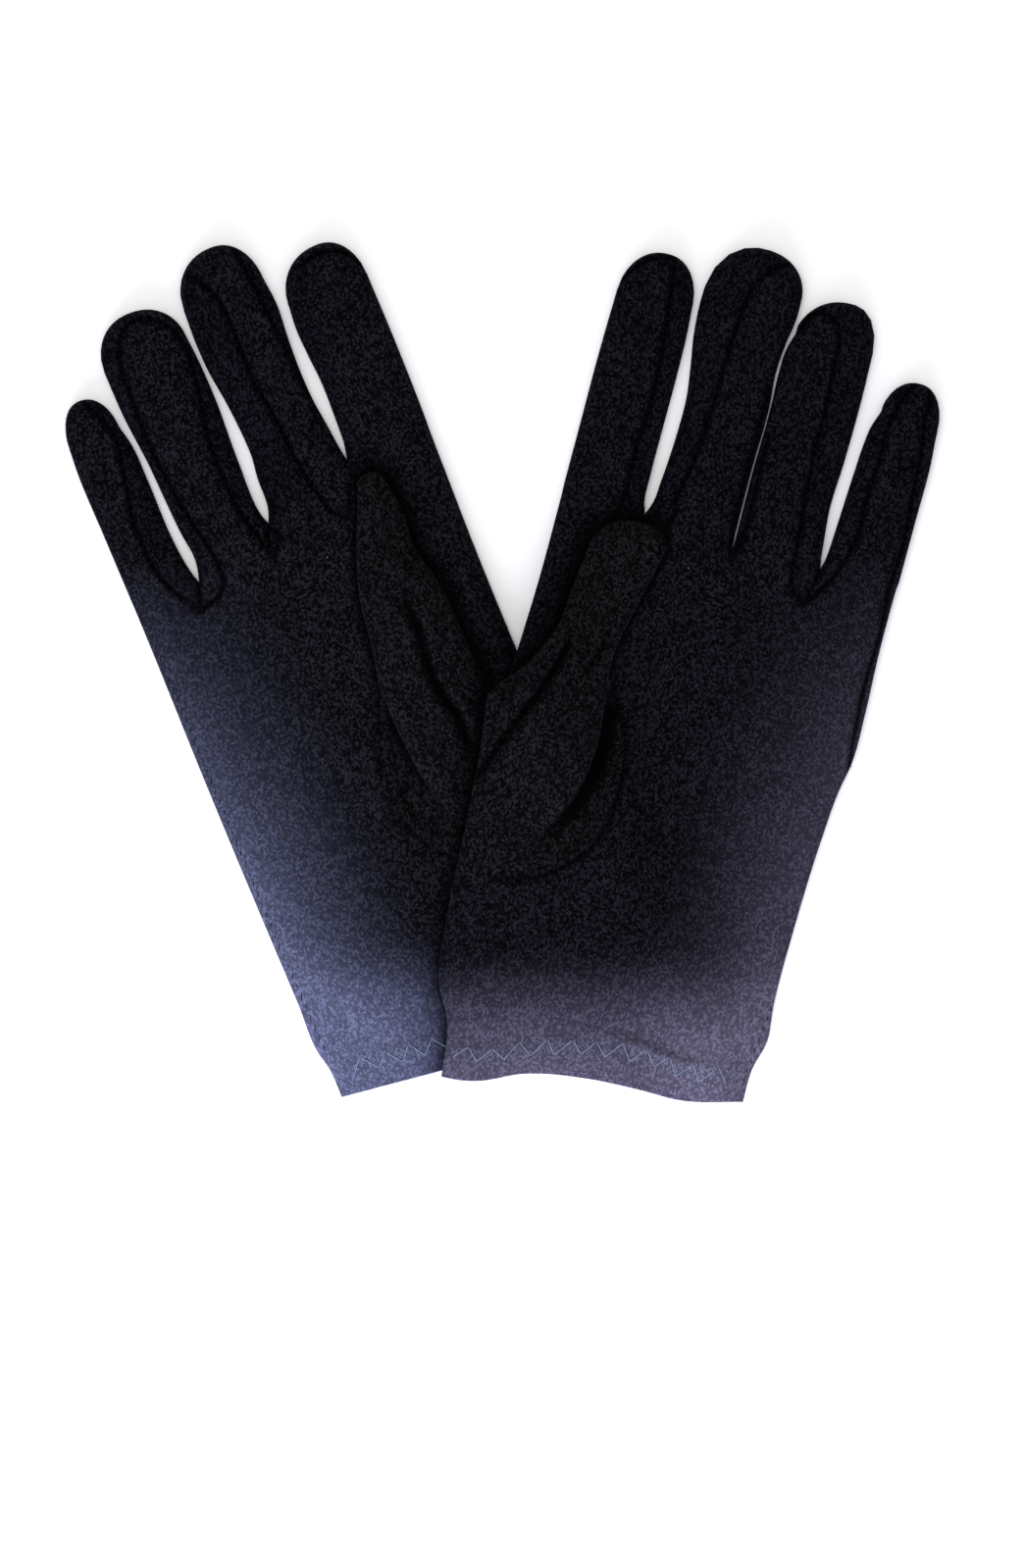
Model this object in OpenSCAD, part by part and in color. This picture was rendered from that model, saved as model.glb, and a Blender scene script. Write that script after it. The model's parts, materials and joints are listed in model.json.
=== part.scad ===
// A pair of wrist-length stretch dress gloves, lying palm up with their cuffs crossed.
// The right-hand glove lies on the surface. The left-hand glove lies over it, and falls
// from the level of its palm to the surface past its thumb-side edge.
//
// Each glove is drawn in its own frame. x = 0 is the fold along the thumb side and x grows
// towards the little finger, y = 0 is the root of the index finger and the fingers point
// along +y, and z = 0 is the surface that the glove lies on. place() puts a glove into
// the frame of the pair, and mirrors the right-hand one.

/* [Fabric] */
// Thickness of the knitted fabric
fabric = 0.5; // [0.4:0.05:0.6]
// Height of the empty glove as it lies
loft = 6.8; // [6.4:0.1:8.4]
// Width of a seam's thread line
thread_w = 0.4; // [0.3:0.05:0.6]
// Height of a seam's thread line above the fabric
thread_h = 0.25; // [0.15:0.05:0.3]

/* [Hand] */
// Length from the cuff to the root of the index finger
hand_l = 161; // [130:1:200]
// How much higher the cuff ends on the little finger's side
cuff_rise = 12; // [0:1:18]
// How far each side of the hand draws in at the hem
cuff_draw = 5; // [0:0.5:8]
// Width of the hem that is turned inside the cuff
hem_w = 11; // [8:0.5:16]
// Distance from the cuff to the middle of the hem's zigzag
zigzag_y = 8; // [6:0.5:12]
// Length of one full tooth of the zigzag
zigzag_pitch = 6.6; // [4:0.2:9]
// Height of the zigzag
zigzag_h = 3.4; // [2:0.2:4]

/* [Fingers] */
// Width of each finger lying flat, from the index to the little finger
finger_w = [22.3, 23.4, 22.8, 18.3]; // [16:0.1:30]
// Length of each finger from its root
finger_l = [60, 69.5, 67.5, 54.5]; // [40:0.5:85]
// How far each finger's root is below that of the index finger
root_drop = [0, 0, 6, 10]; // [0:0.5:14]
// Gaps between the left-hand glove's fingers
left_gaps = [3.2, 1.6, 3.4]; // [1:0.1:8]
// Gaps between the right-hand glove's fingers
right_gaps = [2.4, 1.6, 2.0]; // [1:0.1:8]

/* [Thumb] */
// Distance from the root of the index finger to the fold across the thumb
thumb_drop = 54; // [53:0.5:65]
// Length of the left thumb beyond its fold
left_thumb_l = 43.5; // [32:0.5:51]
// Length of the right thumb beyond its fold
right_thumb_l = 51.5; // [32:0.5:51.5]
// Width of the thumb lying flat
thumb_w = 20.5; // [16:0.5:26]
// Height of the thumb as it lies on the palm
thumb_loft = 6.2; // [6:0.1:7]
// Distance from the thumb-side fold to the middle of the thumb
thumb_x = 21.8; // [17:0.2:26]
// Width of the thumb opening in the palm
opening_w = 33; // [26:0.5:36]
// Length of the thumb opening in the palm
opening_l = 59; // [48:0.5:64]
// Length over which the thumb rises from the palm to its fold
thumb_rise = 18; // [14:0.5:24]

/* [Lay of the pair] */
// Angle that the left-hand glove leans to the right
left_lean = 15.7; // [12:0.1:24]
// Angle that the right-hand glove leans to the left
right_lean = 22; // [18:0.1:28]
// Distance from the left thumb's fold down to where the two thumb-side folds cross
left_cross = -3.7; // [-6:0.1:16]
// Distance from the right thumb's fold down to where the two thumb-side folds cross
right_cross = 5; // [0:0.1:16]
// Width over which the left-hand glove falls to the surface
drape_w = 28; // [20:0.5:29]

/* [Hidden] */
$fn = 48;
LEFT = 0;
RIGHT = 1;
INDEX = 0;
MIDDLE = 1;
RING = 2;
LITTLE = 3;
far = 400;             // longer than the pair
seat = 0.02;           // clearance between layers of fabric in one glove
air = 0.4;             // clearance between parts that move past each other
hinge_gap = 0.3;       // clearance across the line where a finger or thumb bends
fabric_black = [0.07, 0.07, 0.10];
fabric_side = [0.09, 0.09, 0.13];
thread_black = [0.03, 0.03, 0.04];
thread_blue = [0.42, 0.47, 0.62];

// Where the two thumb-side folds cross, which centres the pair on the origin.
cross_point = [3.54, 9.43];

function sum(list, n) = n <= 0 ? 0 : list[n - 1] + sum(list, n - 1);
function gaps(side) = side == LEFT ? left_gaps : right_gaps;
function thumb_l(side) = side == LEFT ? left_thumb_l : right_thumb_l;
function lean(side) = side == LEFT ? -left_lean : right_lean;
function cross_drop(side) = thumb_drop + (side == LEFT ? left_cross : right_cross);

// Edges and root of finger i in the glove's frame.
function finger_x0(side, i) = sum(finger_w, i) + sum(gaps(side), i);
function finger_x1(side, i) = finger_x0(side, i) + finger_w[i];
function root_y(i) = -root_drop[i];
function hand_end(i) = root_y(i) - hinge_gap / 2;
hand_w = sum(finger_w, 4) + max(sum(left_gaps, 3), sum(right_gaps, 3));

// The left-hand glove's palm is lifted by this much where it lies over the other glove.
lift = loft + fabric + air;
function side_lift(side) = side == LEFT ? lift : 0;
drape_steps = 8;
drape_clear = 1.5;     // the lifted level reaches this far past the lower glove's fold
function drape_at(t) = lift * (1 - t * t * (3 - 2 * t));

// Cuff line: the little finger's side ends higher.
cuff_y0 = -hand_l - cuff_rise / 2;
cuff_y1 = -hand_l + cuff_rise / 2;
draw_l = 3 * hem_w;    // length over which the sides draw in
function cuff_y(x) = cuff_y0 + (cuff_y1 - cuff_y0) * x / hand_w;

// The thumb's fold, the level of its underside, and its opening in the palm.
fold_y = -thumb_drop;
opening_r = opening_w / 2;
opening_x = thumb_x - 2.3;
opening_top = fold_y - 2 * fabric;
opening_rim = 1.5;
function thumb_z(side) = loft + side_lift(side) + air;
function thumb_top(side) = thumb_z(side) + thumb_loft;
// The left thumb slopes down with the palm below it, and its tip stays clear of that palm.
function thumb_pitch(side) = side == LEFT ? asin((lift - air) / thumb_l(side)) : 0;

// Round side of a finger or thumb, which is the width of its side strip.
side_r = loft / 2;

// ---- Placing ----

// Puts a glove's own frame into the frame of the pair.
module place(side)
    translate([cross_point.x, cross_point.y, 0])
        rotate([0, 0, lean(side)])
            mirror([side == RIGHT ? 1 : 0, 0, 0])
                translate([0, cross_drop(side), 0])
                    children();

// Section across the lower glove's fold: level over the glove, then down to the surface.
function drape_line(z) = [
    [-far, z],
    for (i = [drape_steps : -1 : 0])
        [-drape_clear - drape_w * i / drape_steps, z + drape_at(i / drape_steps)],
    [far, z + lift]
];

// A layer of the glove with the outline of the children, from z0 to z1 above its underside.
// The left-hand glove's layers drape over the right-hand glove.
module layer(side, z0, z1) {
    if (side == RIGHT)
        place(side) translate([0, 0, z0]) linear_extrude(z1 - z0) children();
    else
        intersection() {
            place(side) linear_extrude(4 * lift) children();
            place(RIGHT)
                rotate([90, 0, 0])
                    linear_extrude(2 * far, center = true)
                        polygon(concat(drape_line(z0), [
                            for (i = [len(drape_line(z1)) - 1 : -1 : 0]) drape_line(z1)[i]
                        ]));
        }
}

// ---- Hand ----

// Outline of the hand, drawn in by inset at its sides. past runs it beyond its open ends.
module hand_outline(side, inset = 0, past = 0) {
    w = finger_x1(side, LITTLE);
    polygon(concat(
        [
            [cuff_draw + inset, cuff_y(0) - past],
            [inset, cuff_y(0) + draw_l],
            [inset, hand_end(INDEX) + past]
        ],
        [
            for (i = [INDEX : RING]) each [
                [finger_x1(side, i) - inset, hand_end(i) + past],
                if (inset > 0) [finger_x1(side, i) - inset, hand_end(i) - inset],
                if (inset > 0) [finger_x0(side, i + 1) + inset, hand_end(i + 1) - inset],
                [finger_x0(side, i + 1) + inset, hand_end(i + 1) + past]
            ]
        ],
        [
            [w - inset, hand_end(LITTLE) + past],
            [w - inset, cuff_y(w) + draw_l],
            [w - cuff_draw / 2 - inset, cuff_y(w) - past]
        ]
    ));
}

// A band across the hand along the cuff, between two distances from it.
module cuff_band(y0, y1)
    polygon([
        [-far, cuff_y(-far) + y0], [far, cuff_y(far) + y0],
        [far, cuff_y(far) + y1], [-far, cuff_y(-far) + y1]
    ]);

// The thumb opening, a long hole with round ends, grown by grow.
module thumb_opening(grow = 0) {
    r = opening_r + grow;
    straight = opening_l - 2 * opening_r;
    translate([opening_x, opening_top - opening_r]) circle(r);
    translate([opening_x, opening_top - opening_r - straight]) circle(r);
    translate([opening_x - r, opening_top - opening_r - straight]) square([2 * r, straight]);
}

// The half of the trank that covers the palm. The thumb is sewn round its opening.
module palm_panel(side)
    color(fabric_black)
        layer(side, loft - fabric, loft)
            difference() {
                hand_outline(side);
                thumb_opening();
            }

// The half of the trank that covers the back of the hand, with the fold along the thumb
// side and the turned edge along the little finger's side.
module back_panel(side)
    color(fabric_black)
        difference() {
            layer(side, 0, loft - fabric - seat) hand_outline(side);
            layer(side, fabric, loft) hand_outline(side, fabric, 1);
        }

// The end of the trank, turned inside the cuff.
module cuff_hem(side)
    color(fabric_side) {
        gap = fabric + seat;
        difference() {
            layer(side, gap, loft - gap)
                intersection() {
                    hand_outline(side, gap);
                    cuff_band(0, hem_w);
                }
            layer(side, gap + fabric, loft - gap - fabric)
                hand_outline(side, gap + fabric, 1);
        }
    }

// The zigzag that holds the hem, seen on the palm.
module hem_stitches(side) {
    x0 = cuff_draw + fabric;
    teeth = floor((hand_w - 2 * x0) / (zigzag_pitch / 2));
    color(thread_blue)
        layer(side, loft + seat, loft + seat + thread_h)
            polygon(concat(
                [for (i = [0 : teeth]) zigzag_point(x0, i, 0)],
                [for (i = [teeth : -1 : 0]) zigzag_point(x0, i, thread_w)]
            ));
}
function zigzag_point(x0, i, up) =
    let (x = x0 + i * zigzag_pitch / 2)
    [x, cuff_y(x) + zigzag_y + up + zigzag_h * (i % 2 - 0.5)];

// The row of stitches that closes the trank beside the little finger.
module side_stitches(side) {
    pitch = 4;
    stitch = 2.6;
    x = finger_x1(side, LITTLE) - cuff_draw;
    y0 = cuff_y(x) + zigzag_y + zigzag_h;
    count = floor((root_y(LITTLE) - y0) / pitch);
    color(thread_black)
        layer(side, loft + seat, loft + seat + thread_h)
            for (i = [0 : count - 1])
                translate([x, y0 + i * pitch]) square([thread_w, stitch]);
}

// The short V below each fork, where two side strips meet in the palm.
module web_stitches(side) {
    depth = 9;
    color(thread_black)
        layer(side, loft + seat, loft + seat + thread_h)
            for (i = [INDEX : RING]) {
                x0 = finger_x1(side, i) - side_r;
                x1 = finger_x0(side, i + 1) + side_r;
                y0 = hand_end(i) - thread_h;
                y1 = hand_end(i + 1) - thread_h;
                low = min(y0, y1) - depth;
                mid = (x0 + x1) / 2;
                polygon([
                    [x0 - thread_w, y0], [x0, y0], [mid, low + thread_w], [x1, y1],
                    [x1 + thread_w, y1], [mid, low - thread_w]
                ]);
            }
}

// ---- Fingers ----

// A flat tube with round sides and a round end, from y = 0 to y = l.
module flat_tube(w, h, l) {
    r = h / 2;
    intersection() {
        union() {
            for (x = [r - w / 2, w / 2 - r])
                translate([x, 0, 0]) rotate([-90, 0, 0]) cylinder(h = l, r = r);
            translate([r - w / 2, 0, -r]) cube([w - h, l, h]);
        }
        union() {
            translate([-w / 2, 0, -h]) cube([w, l - w / 2, 2 * h]);
            translate([0, l - w / 2, -h]) cylinder(h = 2 * h, r = w / 2);
        }
    }
}

// A closed stall of fabric, open at y = 0.
module stall_tube(w, h, l)
    translate([0, 0, h / 2])
        difference() {
            flat_tube(w, h, l);
            translate([0, -1, 0])
                flat_tube(w - 2 * fabric, h - 2 * fabric, l + 1 - fabric);
        }

// The slice of a finger between two distances from its thumb-side edge.
module finger_slice(side, i, from, to)
    place(side)
        translate([finger_x0(side, i) + finger_w[i] / 2, root_y(i), 0])
            intersection() {
                stall_tube(finger_w[i], loft, finger_l[i]);
                translate([from - finger_w[i] / 2, hinge_gap / 2, -1])
                    cube([to - from, finger_l[i], loft + 2]);
            }

// The palm and back faces of a finger. The index stall runs round the thumb-side fold,
// and the little finger's stall runs round its outer side.
module stall(side, i)
    color(fabric_black)
        finger_slice(side, i,
            i == INDEX ? -1 : side_r,
            i == LITTLE ? finger_w[i] + 1 : finger_w[i] - side_r);

// The strip along a finger's side. It faces the next finger on the thumb side if inner.
module fourchette(side, i, inner)
    color(fabric_side)
        finger_slice(side, i,
            inner ? -1 : finger_w[i] - side_r + seat,
            inner ? side_r - seat : finger_w[i] + 1);

// The thread lines where a finger's side strips meet its palm face.
module finger_stitches(side, i) {
    lines = [if (i != INDEX) side_r, if (i != LITTLE) finger_w[i] - side_r];
    color(thread_black)
        place(side)
            for (x = lines)
                translate([finger_x0(side, i) + x - thread_w / 2, root_y(i) + air, loft + seat])
                    cube([thread_w, finger_l[i] - finger_w[i] / 2 - air, thread_h]);
}

// ---- Thumb ----

// The base of the thumb: a cover sewn round the opening, which rises to the fold.
module thumb_base(side)
    color(fabric_side) {
        w = thumb_w;
        in = w - 2 * fabric;
        rise_y = fold_y - thumb_rise;
        top = thumb_top(side);
        low = loft + side_lift(side) + fabric;
        difference() {
            union() {
                layer(side, loft + seat, loft + seat + fabric)
                    intersection() {
                        thumb_opening(opening_rim);
                        translate([-far, -2 * far]) square([2 * far, 2 * far + fold_y]);
                    }
                intersection() {
                    layer(side, loft + seat, 3 * loft)
                        translate([thumb_x - w / 2, rise_y]) square([w, thumb_rise]);
                    thumb_ramp(side, w, [
                        [rise_y, 0], [rise_y, low], [fold_y, top], [fold_y, 0]
                    ]);
                }
            }
            thumb_ramp(side, in, [
                [rise_y + 2 * fabric, 0], [rise_y + 2 * fabric, low - fabric],
                [fold_y, top - fabric], [fold_y + 1, top - fabric], [fold_y + 1, 0]
            ]);
            at_thumb(side)
                translate([-w, -hinge_gap / 2, -far]) cube([2 * w, far, 2 * far]);
        }
    }

// A wedge across the thumb with the given side view.
module thumb_ramp(side, w, view)
    place(side)
        translate([thumb_x - w / 2, 0, 0])
            rotate([90, 0, 90])
                linear_extrude(w) polygon(view);

// Puts the children at the thumb's fold, sloped about the fold's upper edge.
module at_thumb(side)
    place(side)
        translate([thumb_x, fold_y, thumb_top(side)])
            rotate([-thumb_pitch(side), 0, 0])
                translate([0, 0, -thumb_loft])
                    children();

// The thumb beyond its fold.
module thumb_stall(side)
    color(fabric_black)
        at_thumb(side)
            intersection() {
                stall_tube(thumb_w, thumb_loft, thumb_l(side));
                translate([-thumb_w, hinge_gap / 2, -1])
                    cube([2 * thumb_w, thumb_l(side), thumb_loft + 2]);
            }

// The thread line across the end of the thumb.
module thumb_stitches(side) {
    r = thumb_w / 2 - thumb_loft / 2;
    color(thread_black)
        at_thumb(side)
            translate([0, thumb_l(side) - thumb_w / 2, thumb_loft + seat])
                difference() {
                    cylinder(h = thread_h, r = r);
                    translate([0, 0, -1]) cylinder(h = thread_h + 2, r = r - thread_w);
                    translate([-far, -2 * far, -1]) cube([2 * far, 2 * far, 3]);
                }
}

// The thread line round the thumb opening.
module thumb_opening_stitches(side)
    color(thread_black)
        layer(side, loft + 2 * seat + fabric, loft + 2 * seat + fabric + thread_h)
            intersection() {
                difference() {
                    thumb_opening(opening_rim / 2);
                    thumb_opening(opening_rim / 2 - thread_w);
                }
                translate([-far, -2 * far])
                    square([2 * far, 2 * far + fold_y - thumb_rise]);
            }

// ---- Nodes ----

module glove(side, name) {
    palm_panel(side);
    back_panel(side);
    cuff_hem(side);
    hem_stitches(side);
    side_stitches(side);
    web_stitches(side);
    thumb_base(side);
    thumb_opening_stitches(side);
    thumb_stall(side);
    thumb_stitches(side);
    stall(side, INDEX);
    fourchette(side, INDEX, false);
    finger_stitches(side, INDEX);
    stall(side, MIDDLE);
    fourchette(side, MIDDLE, true);
    fourchette(side, MIDDLE, false);
    finger_stitches(side, MIDDLE);
    stall(side, RING);
    fourchette(side, RING, true);
    fourchette(side, RING, false);
    finger_stitches(side, RING);
    stall(side, LITTLE);
    fourchette(side, LITTLE, true);
    finger_stitches(side, LITTLE);
}

glove(LEFT, "left");
glove(RIGHT, "right");
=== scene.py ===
import json
import math
from functools import partial

import bpy
import numpy as np
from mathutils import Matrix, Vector, noise

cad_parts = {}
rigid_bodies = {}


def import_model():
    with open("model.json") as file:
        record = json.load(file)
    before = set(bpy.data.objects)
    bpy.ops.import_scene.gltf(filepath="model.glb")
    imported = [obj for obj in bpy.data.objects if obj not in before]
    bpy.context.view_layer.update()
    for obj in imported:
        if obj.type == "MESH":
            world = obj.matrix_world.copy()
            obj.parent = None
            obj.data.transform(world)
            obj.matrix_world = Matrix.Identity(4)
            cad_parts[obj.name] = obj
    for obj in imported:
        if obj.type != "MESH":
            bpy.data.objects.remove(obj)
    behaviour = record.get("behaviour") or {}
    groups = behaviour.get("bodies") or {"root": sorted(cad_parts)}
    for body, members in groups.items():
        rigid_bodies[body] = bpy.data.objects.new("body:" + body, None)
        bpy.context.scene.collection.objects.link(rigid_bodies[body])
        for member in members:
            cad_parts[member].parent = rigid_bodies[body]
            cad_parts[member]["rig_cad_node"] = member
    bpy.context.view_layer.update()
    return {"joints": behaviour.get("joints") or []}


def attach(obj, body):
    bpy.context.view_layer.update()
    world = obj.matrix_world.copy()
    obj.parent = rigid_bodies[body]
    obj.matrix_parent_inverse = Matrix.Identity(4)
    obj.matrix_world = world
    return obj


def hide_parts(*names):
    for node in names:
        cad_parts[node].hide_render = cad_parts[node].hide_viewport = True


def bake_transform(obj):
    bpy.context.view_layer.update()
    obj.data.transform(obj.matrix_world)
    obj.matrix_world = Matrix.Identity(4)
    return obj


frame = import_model()
scene = bpy.context.scene
scene.view_settings.view_transform = "Standard"
MM = 0.001

# ---------------------------------------------------------------------------------------
# Camera. It looks straight down on the pair from well above, and takes in a wide margin
# of the table past the cuffs.
# ---------------------------------------------------------------------------------------
camera_height = 1.3
view_height = 0.4247
camera = bpy.data.objects.new("camera", bpy.data.cameras.new("camera"))
camera.data.sensor_width = 36
camera.data.lens = camera.data.sensor_width * camera_height / view_height
camera.data.clip_end = 10
camera.location = (0.0020, -0.0294, camera_height)
scene.collection.objects.link(camera)
scene.camera = camera

# ---------------------------------------------------------------------------------------
# The table and the light. A matt white table, a bright even sky, a large soft lamp above
# and a small low lamp past the cuffs, which rakes over the cloth.
# ---------------------------------------------------------------------------------------
table_mesh = bpy.data.meshes.new("table")
table_half = 3.0
table_mesh.from_pydata(
    [(x * table_half, y * table_half, -0.0001) for x, y in ((-1, -1), (1, -1), (1, 1), (-1, 1))],
    [], [(0, 1, 2, 3)])
table = bpy.data.objects.new("table", table_mesh)
scene.collection.objects.link(table)
table_paint = bpy.data.materials.new("table_paint")
table_paint.use_nodes = True
paint = table_paint.node_tree.nodes["Principled BSDF"].inputs
paint["Base Color"].default_value = (0.93, 0.93, 0.93, 1)
paint["Roughness"].default_value = 0.9
table_mesh.materials.append(table_paint)

world = bpy.data.worlds.new("sky")
world.use_nodes = True
background = world.node_tree.nodes["Background"].inputs
background["Color"].default_value = (1, 1, 1, 1)
background["Strength"].default_value = 0.75
scene.world = world


def lamp(name, power, size, place, target, color=(1, 1, 1)):
    light = bpy.data.lights.new(name, "AREA")
    light.shape = "RECTANGLE"
    light.size, light.size_y = size
    light.energy = power
    light.color = color
    made = bpy.data.objects.new(name, light)
    made.location = place
    made.rotation_euler = (Vector(target) - Vector(place)).to_track_quat("-Z", "Y").to_euler()
    scene.collection.objects.link(made)


lamp("overhead_softbox", 9, (1.2, 1.2), (-0.3, 0.3, 1.5), (0, 0, 0))
lamp("cuff_softbox", 2.2, (0.50, 0.12), (-0.06, -0.30, 0.13), (0.0, -0.05, 0.0), (0.80, 0.84, 1.0))

# ---------------------------------------------------------------------------------------
# Glove cloth. A warp-knit nylon jersey, dyed black: matt, with fine wales along the hand
# and slightly uneven dye. Its colour turns lighter, to blue or plum by piece, towards the cuffs: a painted
# sheen.
# Seams, creases, the hollows by the thumbs and lines of contact carry painted shade.
# ---------------------------------------------------------------------------------------


def socket(group, name, kind, way, value=None):
    made = group.interface.new_socket(name=name, in_out=way, socket_type=kind)
    if value is not None:
        made.default_value = value


def knit_group():
    """Colour and height of a fine warp knit, from the cloth's own flat coordinates."""
    group = bpy.data.node_groups.new("warp_knit", "ShaderNodeTree")
    socket(group, "Flat", "NodeSocketVector", "INPUT")
    socket(group, "Dye", "NodeSocketColor", "INPUT")
    socket(group, "Wale pitch", "NodeSocketFloat", "INPUT", 0.62)
    socket(group, "Side painted sheen", "NodeSocketFloat", "INPUT")
    socket(group, "Seam", "NodeSocketFloat", "INPUT")
    socket(group, "Painted sheen", "NodeSocketColor", "INPUT")
    socket(group, "Color", "NodeSocketColor", "OUTPUT")
    socket(group, "Height", "NodeSocketFloat", "OUTPUT")
    socket(group, "Roughness", "NodeSocketFloat", "OUTPUT")
    nodes, links = group.nodes, group.links
    given = nodes.new("NodeGroupInput").outputs
    out = nodes.new("NodeGroupOutput")
    split = nodes.new("ShaderNodeSeparateXYZ")
    links.new(given["Flat"], split.inputs[0])
    x, y = split.outputs["X"], split.outputs["Y"]

    def maths(operation, a, b=None, c=None):
        node = nodes.new("ShaderNodeMath")
        node.operation = operation
        for i, value in enumerate((a, b, c)):
            if value is None:
                continue
            if isinstance(value, (int, float)):
                node.inputs[i].default_value = value
            else:
                links.new(value, node.inputs[i])
        return node.outputs[0]

    # wales are ribs along the hand, and courses are the loops across them, half as long again
    turns = maths("DIVIDE", 2 * math.pi, given["Wale pitch"])
    wale = maths("SINE", maths("MULTIPLY", x, turns))
    course = maths("SINE", maths("MULTIPLY", y, maths("MULTIPLY", turns, 1.45)))
    loops = maths("MULTIPLY", maths("ADD", wale, 1.0), maths("MULTIPLY_ADD", course, 0.25, 0.5))

    def texture_noise(scale, detail, rough):
        node = nodes.new("ShaderNodeTexNoise")
        node.inputs["Scale"].default_value = scale
        node.inputs["Detail"].default_value = detail
        node.inputs["Roughness"].default_value = rough
        links.new(given["Flat"], node.inputs["Vector"])
        return node.outputs["Fac"]

    def ramp(value, low, high):
        node = nodes.new("ShaderNodeMapRange")
        node.interpolation_type = "SMOOTHSTEP"
        node.inputs["From Min"].default_value = low
        node.inputs["From Max"].default_value = high
        links.new(value, node.inputs["Value"])
        return node.outputs["Result"]

    def scaled(color, amount):
        node = nodes.new("ShaderNodeVectorMath")
        node.operation = "SCALE"
        links.new(color, node.inputs[0])
        links.new(amount, node.inputs["Scale"])
        return node.outputs[0]

    # each little cell of loops catches the light its own way
    cell = nodes.new("ShaderNodeVectorMath")
    cell.operation = "SNAP"
    cell.inputs[1].default_value = (0.52, 0.62, 1.0)
    links.new(given["Flat"], cell.inputs[0])
    random = nodes.new("ShaderNodeTexWhiteNoise")
    random.noise_dimensions = "2D"
    links.new(cell.outputs[0], random.inputs["Vector"])
    grain = texture_noise(0.95, 3, 0.7)
    cloudy = texture_noise(0.05, 2, 0.5)
    glint = maths("SUBTRACT", maths("POWER", random.outputs["Value"], 2.0), 0.333)
    uneven = maths("MULTIPLY_ADD", grain, 0.4, -0.2)
    specks = maths("ADD", glint, uneven)
    level = maths("ADD", maths("MULTIPLY_ADD", specks, 2.9, 1.0),
                  maths("MULTIPLY", maths("SUBTRACT", loops, 0.5), 0.35))
    level = maths("MULTIPLY", level, maths("MULTIPLY_ADD", cloudy, 0.6, 0.7))
    level = maths("MAXIMUM", level, 0.15)
    dyed = scaled(given["Dye"], level)

    # painted sheen: the colour turns lighter towards the cuff and along the outer side of the hand, in
    # patches
    down = maths("MULTIPLY_ADD", x, 0.33, maths("MULTIPLY", y, -1.0))
    by_cuff = maths("MULTIPLY", ramp(down, 137, 180), 0.76)
    outward = maths("MAXIMUM", maths("MULTIPLY_ADD", x, 1 / 42, -50 / 42), 0.0)
    to_cuff = maths("MAXIMUM", maths("MULTIPLY", y, -1 / 125), 0.0)
    by_side = maths("MULTIPLY", maths("POWER", outward, 2.0), to_cuff)
    patchy = maths("MULTIPLY_ADD", texture_noise(0.03, 2, 0.5), 0.4, 0.8)
    fade = maths("MULTIPLY", maths("MULTIPLY_ADD", by_side, given["Side painted sheen"], by_cuff), patchy)
    fade = maths("MINIMUM", fade, 1.0)
    painted_sheen_specked = scaled(given["Painted sheen"], maths("ADD", specks, 1.0))
    mixed = nodes.new("ShaderNodeMix")
    mixed.data_type = "RGBA"
    links.new(fade, mixed.inputs["Factor"])
    links.new(dyed, mixed.inputs["A"])
    links.new(painted_sheen_specked, mixed.inputs["B"])

    # sparse pale lint
    lint = nodes.new("ShaderNodeTexVoronoi")
    lint.inputs["Scale"].default_value = 0.11
    links.new(given["Flat"], lint.inputs["Vector"])
    fleck = maths("LESS_THAN", lint.outputs["Distance"], 0.022)
    dusty = nodes.new("ShaderNodeMix")
    dusty.data_type = "RGBA"
    dusty.inputs["B"].default_value = (0.16, 0.16, 0.17, 1)
    links.new(maths("MULTIPLY", fleck, 0.55), dusty.inputs["Factor"])
    links.new(mixed.outputs["Result"], dusty.inputs["A"])

    # painted shade: the colour is darkened in seams, creases, the hollows beside the thumbs and along lines
    # of contact, where little light comes back out
    lit = maths("SUBTRACT", 1.0, maths("MULTIPLY", given["Seam"], 0.95))
    links.new(scaled(dusty.outputs["Result"], lit), out.inputs["Color"])
    links.new(maths("MULTIPLY_ADD", loops, 0.5, maths("MULTIPLY", grain, 0.9)),
              out.inputs["Height"])
    links.new(maths("MULTIPLY_ADD", grain, 0.25, 0.62), out.inputs["Roughness"])
    return group


warp_knit = knit_group()


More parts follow.
